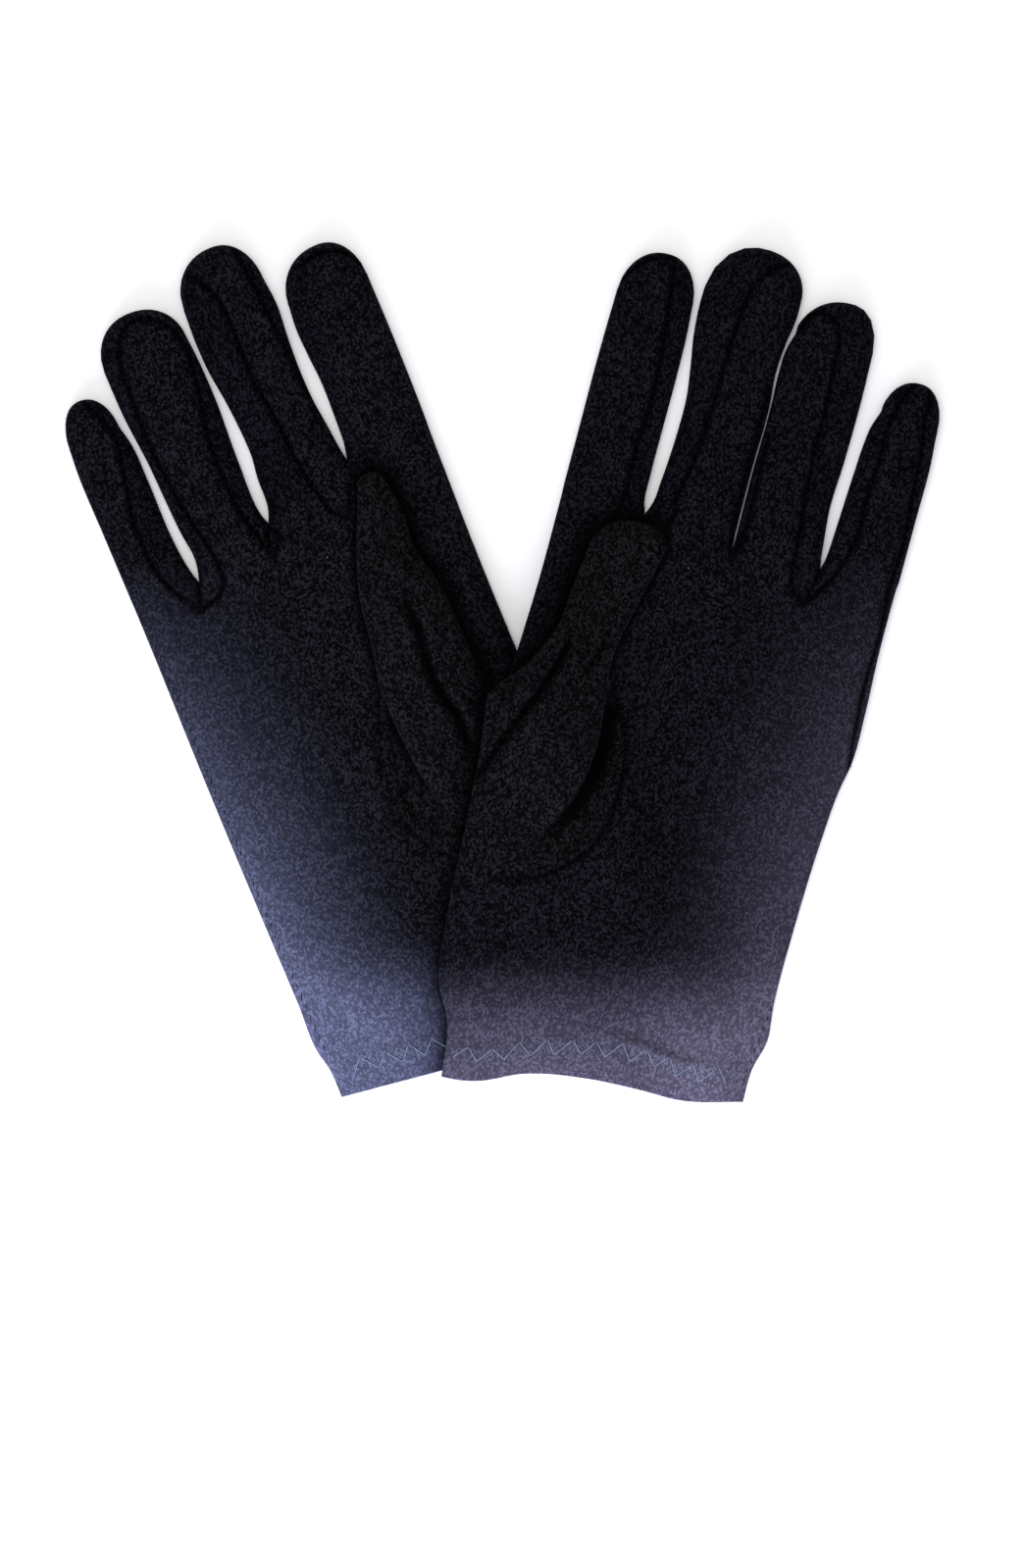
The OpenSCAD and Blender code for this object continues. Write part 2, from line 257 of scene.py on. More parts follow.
def cloth_material(name, dye, painted_sheen, side_painted_sheen=0.5):
    """The knit with its own dye and painted sheen colour. The UV map is in metres, and the knit counts
    millimetres.
    """
    material = bpy.data.materials.new(name)
    material.use_nodes = True
    nodes, links = material.node_tree.nodes, material.node_tree.links
    shader = nodes["Principled BSDF"]
    flat = nodes.new("ShaderNodeUVMap")
    flat.uv_map = "cloth"
    scaled = nodes.new("ShaderNodeVectorMath")
    scaled.operation = "SCALE"
    scaled.inputs["Scale"].default_value = 1000.0
    links.new(flat.outputs[0], scaled.inputs[0])
    knit = nodes.new("ShaderNodeGroup")
    knit.node_tree = warp_knit
    knit.inputs["Dye"].default_value = (*dye, 1)
    knit.inputs["Painted sheen"].default_value = (*painted_sheen, 1)
    knit.inputs["Side painted sheen"].default_value = side_painted_sheen
    links.new(scaled.outputs[0], knit.inputs["Flat"])
    # painted shade, read from the point attribute seam
    dark = nodes.new("ShaderNodeAttribute")
    dark.attribute_name = "seam"
    links.new(dark.outputs["Fac"], knit.inputs["Seam"])
    links.new(knit.outputs["Color"], shader.inputs["Base Color"])
    links.new(knit.outputs["Roughness"], shader.inputs["Roughness"])
    relief = nodes.new("ShaderNodeBump")
    relief.inputs["Strength"].default_value = 0.12
    relief.inputs["Distance"].default_value = 0.0003
    links.new(knit.outputs["Height"], relief.inputs["Height"])
    links.new(relief.outputs[0], shader.inputs["Normal"])
    shader.inputs["Specular IOR Level"].default_value = 0.01
    shader.inputs["Sheen Weight"].default_value = 0.012
    shader.inputs["Sheen Roughness"].default_value = 0.5
    shader.inputs["Sheen Tint"].default_value = (0.6, 0.6, 0.9, 1)
    return material


# colours of the painted sheen towards the cuffs
painted_sheen_blue = (0.058, 0.062, 0.106)
painted_sheen_plum = (0.076, 0.069, 0.108)
trank_cloth = {
    "left": cloth_material("left_glove_jersey", (0.0034, 0.0033, 0.0050), painted_sheen_plum),
    "right": cloth_material("right_glove_jersey", (0.0040, 0.0039, 0.0056), painted_sheen_blue, side_painted_sheen=1.1),
}
hem_jersey = {
    "left": cloth_material("left_hem_jersey", (0.0036, 0.0035, 0.0052), painted_sheen_plum),
    "right": cloth_material("right_hem_jersey", (0.0036, 0.0036, 0.0054), painted_sheen_blue),
}
gusset_cloth = cloth_material("gusset_jersey", (0.0030, 0.0029, 0.0046), painted_sheen_blue)
thumb_cloth = cloth_material("thumb_jersey", (0.0037, 0.0037, 0.0043), painted_sheen_blue)


def thread_material(name, color):
    material = bpy.data.materials.new(name)
    material.use_nodes = True
    nodes, links = material.node_tree.nodes, material.node_tree.links
    shader = nodes["Principled BSDF"]
    place = nodes.new("ShaderNodeTexCoord")
    twist = nodes.new("ShaderNodeTexNoise")
    twist.inputs["Scale"].default_value = 2500
    links.new(place.outputs["Object"], twist.inputs["Vector"])
    shade = nodes.new("ShaderNodeMix")
    shade.data_type = "RGBA"
    shade.inputs["A"].default_value = (*(c * 0.55 for c in color), 1)
    shade.inputs["B"].default_value = (*(min(1, c * 1.45) for c in color), 1)
    links.new(twist.outputs["Fac"], shade.inputs["Factor"])
    links.new(shade.outputs["Result"], shader.inputs["Base Color"])
    relief = nodes.new("ShaderNodeBump")
    relief.inputs["Strength"].default_value = 0.4
    relief.inputs["Distance"].default_value = 0.0001
    links.new(twist.outputs["Fac"], relief.inputs["Height"])
    links.new(relief.outputs[0], shader.inputs["Normal"])
    shader.inputs["Roughness"].default_value = 0.7
    shader.inputs["Specular IOR Level"].default_value = 0.05
    return material


seam_thread = thread_material("seam_thread", (0.0030, 0.0030, 0.0038))
hem_thread = thread_material("hem_thread", (0.15, 0.20, 0.27))

# ---------------------------------------------------------------------------------------
# The trank: the cloth of the palm, the back and the four fingers. It is cut in one, folded
# along the thumb side and seamed beside the little finger. It lies empty, a few millimetres
# high, with rounded edges. Sizes are in millimetres in each glove's own flat frame: x grows
# from the fold to the little finger, and y from the index finger's root to its tip.
# ---------------------------------------------------------------------------------------
FINGERS = ["index", "middle", "ring", "little"]
joints = {j["name"]: j for j in frame["joints"]}


def smooth_curve(knots):
    """A smooth function through (where, value) pairs."""
    s, v = np.array(knots, float).T
    slope = np.gradient(v, s)

    def at(q):
        q = np.clip(q, s[0], s[-1])
        i = np.clip(np.searchsorted(s, q) - 1, 0, len(s) - 2)
        h = s[i + 1] - s[i]
        t = (q - s[i]) / h
        return ((2 * t**3 - 3 * t**2 + 1) * v[i] + (t**3 - 2 * t**2 + t) * h * slope[i]
                + (3 * t**2 - 2 * t**3) * v[i + 1] + (t**3 - t**2) * h * slope[i + 1])
    return at


def curve_through(line, parts):
    """A smooth line through the points, in this many parts from each point to the next."""
    line = np.array(line, float)
    places = np.arange(len(line))
    t = np.linspace(0, len(line) - 1, (len(line) - 1) * parts + 1)
    return np.stack([smooth_curve(np.column_stack([places, line[:, k]]))(t) for k in (0, 1)], 1)


fine_step = 0.25


def fine_line(line, step=fine_step):
    """A smooth line through the points, at an even step."""
    fine = curve_through(line, 30)
    gone = np.concatenate([[0], np.cumsum(np.linalg.norm(np.diff(fine, axis=0), axis=1))])
    at = np.arange(0, gone[-1], step)
    return np.stack([np.interp(at, gone, fine[:, k]) for k in (0, 1)], 1)


def ease(q):
    q = np.clip(q, 0, 1)
    return q * q * (3 - 2 * q)


def crown(q):
    """Rises from 0 at an edge, steep at first, to 1 where q is 1."""
    q = np.clip(q, 0, 1)
    return np.sqrt(1 - (1 - q) ** 2)


tip_squareness = 2.2      # 2 would make each half of a tip a quarter of an ellipse


class FlatTube:
    """A tube lying flat between two edges, lists of (y, x), with a tip of two round caps."""

    def __init__(self, left, right, tip, caps):
        self.left = smooth_curve(left)
        self.right = smooth_curve(right)
        self.tip = tip
        self.caps = caps

    def end(self, x):
        """y of the tip's outline at x."""
        tip_x, tip_y = self.tip
        low_l, low_r = tip_y - self.caps[0], tip_y - self.caps[1]
        out_l = np.clip(tip_x - x, 0, None) / (tip_x - self.left(low_l))
        out_r = np.clip(x - tip_x, 0, None) / (self.right(low_r) - tip_x)
        left = low_l + self.caps[0] * np.sqrt(np.clip(1 - out_l ** tip_squareness, 0, 1))
        right = low_r + self.caps[1] * np.sqrt(np.clip(1 - out_r ** tip_squareness, 0, 1))
        return np.where(x < tip_x, left, right)


class Finger(FlatTube):
    """A finger, with the seams on its palm side as lists of (y, x)."""

    def __init__(self, left, right, seam_left, seam_right, tip, caps):
        super().__init__(left, right, tip, caps)
        self.seam_left = smooth_curve(seam_left)
        self.seam_right = smooth_curve(seam_right)


past_cuff = -185          # the outline goes on past the cuff, to this y


class Glove:
    """One glove in its flat frame. side is 1 where x grows along the fingers' hinge axis, else -1."""

    def __init__(self, name, side, fold_edge, outer_edge, cuff, cuff_back, crotches, fingers, seams, webs,
                 side_seam, zigzag, wrinkles):
        self.name = name
        self.webs = webs
        self.side_seam = side_seam
        self.zigzag = zigzag
        self.wrinkles = wrinkles
        hinge = joints[f"{name}_index_fold"]
        turn = Vector(hinge["axis"])
        self.along = Vector((0, 0, 1)).cross(turn)
        self.across = turn * side
        index_half_width = 11.15 * MM
        self.origin = Vector(hinge["pos_m"]) - self.across * index_half_width
        self.fold_edge = smooth_curve(fold_edge)
        self.outer_edge = smooth_curve(outer_edge)
        self.cuff = smooth_curve(cuff)
        self.cuff_back = smooth_curve(cuff_back)
        self.crotches = crotches
        self.fingers = fingers
        self.seams = seams
        self.outline = self.edge_line()
        self.corner_x = [self.fold_edge(self.root_y(0, 0)), *(x for x, _ in crotches),
                         self.outer_edge(self.root_y(3, 1))]

    def root_y(self, i, u):
        """y where finger i leaves the hand, at share u of its width."""
        first = self.crotches[max(i - 1, 0)][1] - (1 if i == 0 else 0)
        last = self.crotches[min(i, 2)][1]
        return first + (last - first) * u

    def between_gaps(self, i, x):
        """A row of x across finger i's root, stretched to end at the gaps beside the finger."""
        low, high = self.corner_x[i], self.corner_x[i + 1]
        return low + (x - x[0]) * (high - low) / (x[-1] - x[0])

    def edge_line(self):
        """The outline from the cuff, round every finger, back to the cuff."""
        line = [(self.fold_edge(y), y) for y in np.arange(past_cuff, self.root_y(0, 0), 1.0)]
        for i, f in enumerate(self.fingers):
            y0 = self.root_y(i, 0)
            line += [(f.left(y), y) for y in np.arange(y0, f.tip[1] - f.caps[0], 0.8)]
            a = f.left(f.tip[1] - f.caps[0])
            b = f.right(f.tip[1] - f.caps[1])
            turns = np.linspace(0, math.pi, 49)
            xs = (a + b) / 2 - (b - a) / 2 * np.cos(turns)
            line += [(x, float(f.end(x))) for x in xs]
            y1 = self.root_y(i, 1)
            line += [(f.right(y), y) for y in np.arange(f.tip[1] - f.caps[1], y1, -0.8)]
            if i < 3:
                line.append(self.crotches[i])
        line += [(self.outer_edge(y), y) for y in np.arange(self.root_y(3, 1), past_cuff, -1.0)]
        return np.array([(float(x), float(y)) for x, y in line])

    def to_row(self, xyz):
        """Points in the glove's flat frame, in millimetres, as points in the row frame."""
        base = np.array(self.origin) * (1, 1, 0)
        return base + MM * (np.outer(xyz[:, 0], self.across) + np.outer(xyz[:, 1], self.along)
                            + np.outer(xyz[:, 2], (0, 0, 1)))

    def from_row(self, points):
        """x and y in this glove's flat frame, in millimetres, of points in the row frame."""
        away = (points - np.array(self.origin)) / MM
        return away @ np.array(self.across), away @ np.array(self.along)

    def seen_from(self, other, x, y):
        """The other glove's x and y of this glove's flat places."""
        return other.from_row(self.to_row(np.column_stack([x, y, np.zeros(len(x))])))


def distance(x, y, line):
    """Distance of each point from a line of points, and how far along the line it is nearest."""
    a, b = line[:-1], line[1:]
    step = b - a
    size = np.maximum((step ** 2).sum(1), 1e-12)
    starts = np.concatenate([[0], np.cumsum(np.sqrt(size))[:-1]])
    best, along = np.empty(len(x)), np.empty(len(x))
    batch = 4000
    for k in range(0, len(x), batch):
        p = np.stack([x[k:k + batch], y[k:k + batch]], 1)[:, None]
        t = np.clip(((p - a) * step).sum(2) / size, 0, 1)
        gap = ((p - a - t[..., None] * step) ** 2).sum(2)
        near = gap.argmin(1)
        rows = np.arange(len(near))
        best[k:k + batch] = np.sqrt(gap[rows, near])
        along[k:k + batch] = starts[near] + t[rows, near] * np.sqrt(size[near])
    return best, along


def near_box(x, y, line, margin):
    """Numbers of the points inside the line's box, widened by the margin."""
    low, high = line.min(axis=0) - margin, line.max(axis=0) + margin
    return np.flatnonzero((x > low[0]) & (x < high[0]) & (y > low[1]) & (y < high[1]))


def bump_noise(x, y, size, seed):
    """Smooth noise from -1 to 1 with features of the given size."""
    places = ((a / size + seed, b / size, seed * 1.7) for a, b in zip(x, y))
    return np.array([noise.noise(Vector(place)) for place in places])


left_glove = Glove(
    "left", 1,
    fold_edge=[(-185, 13), (-168, 12), (-152, 8.6), (-147, 5.6), (-142, 3.8), (-130, 2.2), (-112, 0.6),
               (-90, 0.2), (-60, 0.6), (-32, 1.2), (-10, 0.9), (20, 0.4), (50, 0.2)],
    outer_edge=[(-185, 92), (-153, 92.2), (-145, 92.3), (-136, 94.4), (-128, 93.6), (-104, 93.2), (-80, 93.8),
                (-66, 94.8), (-58, 96.1), (-44, 96), (-28, 95.2), (6, 95), (20, 95)],
    cuff=[(0, -168.5), (12.4, -168), (20, -167.6), (34, -161.5), (50, -157.2), (64, -155.6), (76, -156.4),
          (93, -153.2)],
    cuff_back=[(0, -168.4), (20, -167.9), (34, -161.9), (50, -158.8), (64, -157.9), (76, -157.6),
               (93, -153.3)],
    crotches=[(24.0, -8.0), (49.3, -11.0), (73.7, -9.5)],
    fingers=[
        Finger([(-12, 0.8), (10, 0.5), (30, 0.2), (48, 0.3)],
               [(-8, 23.9), (-5, 23.0), (2, 22.6), (14, 22.4), (30, 22.2), (42, 21.8), (49, 21.2)],
               [(-8, 6), (48, 5.5)],
               [(-8, 17.4), (10, 16.9), (18, 17.3), (33, 16.7), (51, 14.8), (60, 13.6)],
               (11.4, 61.4), (13, 13)),
        Finger([(-8, 24.1), (-5, 25.1), (2, 25.8), (14, 26.4), (26, 26.2), (34, 25), (42, 23.6), (50, 22.9),
                (58, 23.0)],
               [(-11, 49.1), (10, 48.6), (30, 48.5), (38, 47.8), (46, 48.2), (54, 49.2), (62, 49.0)],
               [(-8, 31.4), (0, 31.3), (10, 33.0), (21, 33.7), (43, 33.9), (51, 34.3), (57, 35.2), (62, 37.6),
                (67, 41.6)],
               [(-11, 48.3), (10, 47.4), (30, 47.3), (46, 46.8), (60, 46)],
               (36.5, 69.8), (15, 11)),
        Finger([(-11, 49.5), (10, 48.95), (30, 48.9), (38, 48.5), (46, 48.9), (50, 50.0)],
               [(-9.5, 73.5), (-6, 73.0), (-2, 72.6), (6, 71.8), (20, 72.1), (40, 72.0), (50, 71.6)],
               [(-11, 51.4), (20, 50.9), (50, 52.4)],
               [(-9, 66.3), (0, 65.3), (10, 64.3), (21, 63.5), (32, 63.2), (43, 62.4), (52, 61.6), (60, 58)],
               (63.0, 61.8), (13.5, 12.5)),
        Finger([(-9.5, 73.9), (-6, 74.4), (2, 74.8), (18, 75.4), (26, 75.8), (31, 76.4), (36, 78.0)],
               [(-9, 95.2), (10, 95.0), (26, 94.8), (33, 94.2)],
               [(-11, 77.6), (-3, 79.9), (4, 80.8), (15, 80.5), (31, 80.8), (37, 81.6), (43, 83.6)],
               [(-9, 92.8), (2, 93.1), (18, 92), (29, 91), (37, 89.8), (44, 88.6)],
               (86.4, 46.0), (10.5, 12)),
    ],
    seams=[
        [(17.4, -12), (17.4, -4.4), (16.9, 10), (17.3, 18), (16.7, 33), (14.6, 51), (13.2, 61)],
        [(1.0, 51.5), (3.6, 55), (6.3, 57.8), (10, 59.8), (13.2, 60.4)],
        [(27.5, -14), (31.4, -7.4), (31.2, -0.6), (33, 10), (33.7, 21), (33.9, 43), (34.3, 51), (35.0, 57),
         (36.9, 61.7), (41.6, 66.4), (45.5, 67)],
        [(49.8, -13.8), (48.0, -6), (47.2, 8), (47.4, 20), (47.0, 34)],
        [(49.8, -13.8), (51.2, -5), (50.9, 10), (50.6, 22)],
        [(71.8, -20.3), (67.4, -16.6), (66.4, -11.3), (65.4, -0.6), (64.3, 10), (63.5, 21), (63.2, 32),
         (62.4, 43),
         (61.6, 52), (60.2, 55), (57.7, 56.7), (54.7, 57), (52.2, 54.6), (51.2, 51)],
        [(71.8, -20.3), (77.5, -11), (80, -3.4), (80.8, 4), (80.5, 15), (80.9, 23), (80.7, 31), (81.6, 37),
         (83.5, 43), (85.6, 45.4)],
        [(73.7, -10), (71.8, -20.3)],
        [(88.8, 44.6), (89.7, 40.7), (89.7, 36.6), (91.1, 28.7), (92, 18), (93.2, 2), (92.8, -9.5),
         (93.8, -23),
         (93.6, -37), (94.8, -53), (96, -61)],
    ],
    webs=[(28.5, -12.5), (49.8, -13.8), (71.8, -20.3)],
    side_seam=[(93.0, -126), (92.4, -132), (91.7, -138), (91.2, -143), (90.9, -149)],
    zigzag=(13.5, 88.5),
    wrinkles=[(0.75, 1.3, [(42, -148), (50, -146.5), (60, -146.4), (72, -147.6), (82, -146)]),
              (0.5, 3.0, [(52, -150), (58, -153), (64, -158)]),
              (0.45, 3.5, [(4, -141), (12, -136), (22, -133)])])

right_glove = Glove(
    "right", -1,
    fold_edge=[(-185, 10), (-166, 9), (-148, 5.5), (-140, 3), (-112, 0.8), (-60, 1.1), (-32, 1.2), (-6, 0.8),
               (20, 0.4), (50, 0.5)],
    outer_edge=[(-185, 89.8), (-156, 90.3), (-147, 90.6), (-143, 91.6), (-128, 91.8), (-104, 92.2),
                (-68, 92.6),
                (-14, 92.7), (10, 93.1), (20, 93.2)],
    cuff=[(0, -166), (30, -162.5), (62, -158.8), (91, -155.4)],
    cuff_back=[(0, -166.6), (30, -163), (62, -159.2), (91, -155.5)],
    crotches=[(24.4, 3.6), (50.5, -4.4), (73.9, -12.2)],
    fingers=[
        Finger([(-2, 0.7), (10, 0.4), (34, 0.3), (47, 0.5)],
               [(3.6, 24.3), (8, 23.5), (14, 23.2), (26, 23.0), (34, 23.6), (42, 23.9), (48, 23.4)],
               [(-2, 6), (46, 5.5)],
               [(3, 19.5), (30, 19), (50, 17.6)],
               (10.3, 60.6), (12.5, 13)),
        Finger([(3.6, 24.5), (7, 25.0), (14, 25.8), (22, 26.8), (30, 27.1), (40, 26.8), (50, 26.2),
                (58, 27.0)],
               [(-4.4, 50.0), (0, 49.0), (8, 48.7), (14, 48.0), (22, 48.2), (30, 48.9), (40, 50.2),
                (48, 50.5),
                (57, 50.2)],
               [(3, 26.0), (20, 28.2), (35, 28.6), (47, 29.5), (59, 30.4), (68, 31.8)],
               [(-4, 34.6), (0, 35.5), (10, 37.2), (22, 38.1), (31, 39.6), (41, 39.8), (52, 39.8), (59, 41.0),
                (64, 43.8)],
               (37.2, 70.6), (13, 13.5)),
        Finger([(-4.4, 50.9), (-1, 51.6), (14, 51.8), (34, 51.2), (46, 51.7), (51, 52.2)],
               [(-12.2, 73.6), (-6, 72.6), (2, 73.5), (10, 74.0), (22, 74.6), (38, 76.1), (50, 76.4)],
               [(-5, 55.0), (0, 56.2), (11, 57.1), (23, 56.8), (36, 54.5), (46, 53.3), (52, 54.4)],
               [(-10, 67.0), (-5, 67.6), (8, 70.2), (26, 72.1), (41, 71.8), (48, 71.8), (53, 70.8)],
               (64.4, 62.4), (11.5, 12.5)),
        Finger([(-12.2, 74.1), (-6, 75.4), (2, 76.2), (18, 76.4), (30, 77.0), (35, 78.2)],
               [(-9, 92.8), (10, 93.1), (28, 93.3), (33, 93.0)],
               [(-11, 80.5), (-7, 82.6), (7, 84.1), (18, 82.5), (32, 80.4), (40, 82.4)],
               [(-9, 90.4), (20, 90.6), (40, 89.0)],
               (85.6, 45.4), (10.5, 12.5)),
    ],
    seams=[
        [(15.4, 56.4), (13, 57.6), (8, 57.4), (3.8, 55), (1.2, 50.8)],
        [(26.0, -3), (29.9, -11), (33.6, -7.2), (35.5, 0.2), (37.2, 10), (38.1, 22), (39.6, 31), (39.8, 41),
         (39.7, 52), (41, 58.8), (43.1, 62.8), (46, 66.3)],
        [(31.8, 68.5), (31.4, 66), (30.4, 58.8), (29.4, 47), (28.4, 35), (27.6, 24)],
        [(50.8, -5), (52.2, -9), (52.6, -13.8)],
        [(52.6, -13.8), (49.0, -9), (47.6, -1), (46.6, 8)],
        [(52.6, -13.8), (54.4, -7.1), (56.2, 0), (57.1, 11), (56.8, 23), (54.5, 36), (53.3, 46), (55.1, 54),
         (59.3, 58.2), (65.1, 59.4), (69.3, 55.4), (71.6, 48.4), (71.8, 41), (72.1, 26), (70.2, 8.5),
         (67.6, -4.9), (66.9, -12.4), (69.5, -17.4), (76.5, -19.9)],
        [(76.5, -19.9), (82.9, -7.3), (84.1, 7.5), (82.5, 18), (80.2, 31.6), (82, 39), (84.6, 44)],
        [(74.3, -13), (75.2, -16.5), (76.5, -19.9)],
    ],
    webs=[(29.6, -10.4), (52.6, -13.8), (76.5, -19.9)],
    side_seam=[(91.2, -20), (90.9, -60), (90.6, -100), (90.0, -128), (89.4, -144)],
    zigzag=(12, 87.6),
    wrinkles=[(0.4, 4.0, [(60, -120), (72, -128), (84, -131)])])
gloves = {"left": left_glove, "right": right_glove}

hand_height = 6.1        # the empty glove's height at the middle of the palm
edge_height = 1.7        # height of its rounded edge
edge_round = 9.0         # how far in from the edge the cloth reaches its full height
lay_height = 7.3         # the upper glove's underside, where it lies over the lower glove
fall_width = 28.0        # the upper glove falls to the table over this distance
fall_start = -1.5        # and starts this far inside the lower glove's fold edge
hem_width = 9.5          # the turned-in hem at the cuff
hem_step = 0.35          # how much it thickens the cuff
stitch_pitch = 2.7       # from one stitch of a seam to the next


def lay(glove, x, y):
    """Height of the surface that the glove lies on: the table, or the glove below it."""
    if glove is right_glove:
        return np.zeros(len(x))
    over, _ = left_glove.seen_from(right_glove, x, y)
    return lay_height * (1 - ease((fall_start - over) / fall_width))


def seam_relief(glove, x, y):
    """A seam pulls the cloth down in a narrow groove between two soft shoulders, with puckers."""
    relief = np.zeros(len(x))
    for line in glove.seams:
        fine = curve_through(line, 6)
        near = near_box(x, y, fine, 4)
        if not len(near):
            continue
        gap, along = distance(x[near], y[near], fine)
        pucker = 0.10 * np.sin(along * 2 * math.pi / stitch_pitch) * np.exp(-(gap / 1.7) ** 2)
        shape = -0.95 * np.exp(-(gap / 0.6) ** 2) + 0.28 * np.exp(-((gap - 1.25) / 0.75) ** 2) + pucker
        relief[near] = np.where(np.abs(shape) > np.abs(relief[near]), shape, relief[near])
    for height, width, line in glove.wrinkles:
        fine = fine_line(line, 1.0)
        gap, along = distance(x, y, fine)
        whole = len(fine) - 1
        relief += height * ease(along / 7) * ease((whole - along) / 7) * np.exp(-(gap / width) ** 2)
    return relief


def palm_height(glove, x, y, gap=None, seams=True):
    """Height of the palm side's cloth above the table."""
    if gap is None:
        gap = distance(x, y, glove.outline)[0]
    cuff_near = ease((y - glove.cuff(x)) / 35)
    height = hand_height * (0.68 + 0.32 * cuff_near)
    seed = 3.1 if glove is left_glove else 8.4
    height = height + 0.45 * bump_noise(x, y, 34, seed) + 0.16 * bump_noise(x, y, 13, seed + 5)
    height = height + hem_step * ease((hem_width + 0.8 - (y - glove.cuff(x))) / 1.6)
    full = edge_height + (height - edge_height) * crown(gap / edge_round)
    if seams:
        full = full + seam_relief(glove, x, y) * ease(gap / 0.8)
    return full + lay(glove, x, y)


def back_height(glove, x, y, gap):
    """Height of the back's cloth, which lies on the table but for its rounded edge."""
    return edge_height * (1 - crown(gap / 3.5)) + 0.05 + lay(glove, x, y)


def spread(n):
    """n + 1 shares from 0 to 1, closer together at both ends."""
    s = np.linspace(0, 1, n + 1)
    return 0.35 * s + 0.65 * (1 - np.cos(math.pi * s)) / 2


side_columns = 7
face_columns = 14
columns = 2 * side_columns + face_columns


def across_finger(glove, i, y, k):
    """x of column k of finger i at y, for arrays of the same shape. Two columns follow the seams."""
    f = glove.fingers[i]
    marks = [f.left(y), f.seam_left(y), f.seam_right(y), f.right(y)]
    marks[1] = np.clip(marks[1], marks[0] + 0.8, marks[3] - 2.5)
    marks[2] = np.clip(marks[2], marks[1] + 1.5, marks[3] - 0.8)
    places = np.concatenate([
        spread(side_columns), 1 + spread(face_columns)[1:], 2 + spread(side_columns)[1:]])
    place = places[k]
    part = np.minimum(place.astype(int), 2)
    share = place - part
    stack = np.stack(marks)
    grid = np.indices(y.shape)
    low = stack[(part, *grid)]
    high = stack[(part + 1, *grid)]
    return low + (high - low) * share


def finger_grid(glove, i, rows=78):
    """Flat places of a finger's cloth, rows from its root to its tip."""
    f = glove.fingers[i]
    k = np.tile(np.arange(columns + 1), (rows + 1, 1))
    v = np.linspace(0, 1, rows + 1)[:, None]
    v = 0.75 * v + 0.25 * np.sin(v * math.pi / 2)
    end = np.full(columns + 1, f.tip[1] - 4.0)
    for _ in range(25):
        x_end = across_finger(glove, i, end[None], k[:1])[0]
        end = 0.5 * end + 0.5 * f.end(x_end)
    share = k / columns
    for _ in range(3):
        root = glove.root_y(i, share)
        y = root + (end - root) * v
        x = across_finger(glove, i, y, k)
        share = (x - x[:, :1]) / (x[:, -1:] - x[:, :1])
    x[-1, 0], x[-1, -1] = f.left(end[0]), f.right(end[-1])
    return x, y


def hand_grid(glove, cuff, rows=150):
    """Flat places of the hand's cloth, rows from the cuff to the fingers' roots, by finger."""
    grids = []
    first_bottom = -160
    for i in range(4):
        roots_x, roots_y = (g[0] for g in finger_grid(glove, i, 2))
        roots_x = glove.between_gaps(i, roots_x)
        share = (roots_x - glove.corner_x[0]) / (glove.corner_x[4] - glove.corner_x[0])
        v = np.linspace(0, 1, rows + 1)[:, None]
        y = first_bottom + (roots_y - first_bottom) * v
        for _ in range(4):
            x = glove.fold_edge(y) + share * (glove.outer_edge(y) - glove.fold_edge(y))
            bottom = cuff(x)
            y = bottom + (roots_y - bottom) * v
        x[-1] = roots_x
        grids.append((x, y))
    return grids


class Grids:
    """Grids of cloth gathered into one mesh of quads, with a tag for each face."""

    def __init__(self):
        self.points, self.faces, self.tags = [], [], []
        self.count = 0

    def add(self, x, y, z, tag, flip):
        """tag is one number, or one for each column of faces."""
        r, c = x.shape
        self.points.append(np.stack([x.ravel(), y.ravel(), z.ravel()], 1))
        a = self.count + np.arange((r - 1) * c).reshape(r - 1, c)[:, :-1].ravel()
        quads = np.stack([a, a + 1, a + c + 1, a + c], 1)
        self.faces.append(quads[:, ::-1] if flip else quads)
        self.tags.append(np.tile(np.broadcast_to(tag, c - 1), r - 1))
        self.count += r * c

    def welded(self):
        """Points, faces and tags, with points in the same place made one."""
        points, faces, tags = (np.concatenate(a) for a in (self.points, self.faces, self.tags))
        _, first, same = np.unique(np.round(points, 3), axis=0, return_index=True, return_inverse=True)
        faces = same.ravel()[faces]
        keep = np.array([len(set(f)) >= 3 for f in faces.tolist()])
        return points[first], faces[keep], tags[keep]


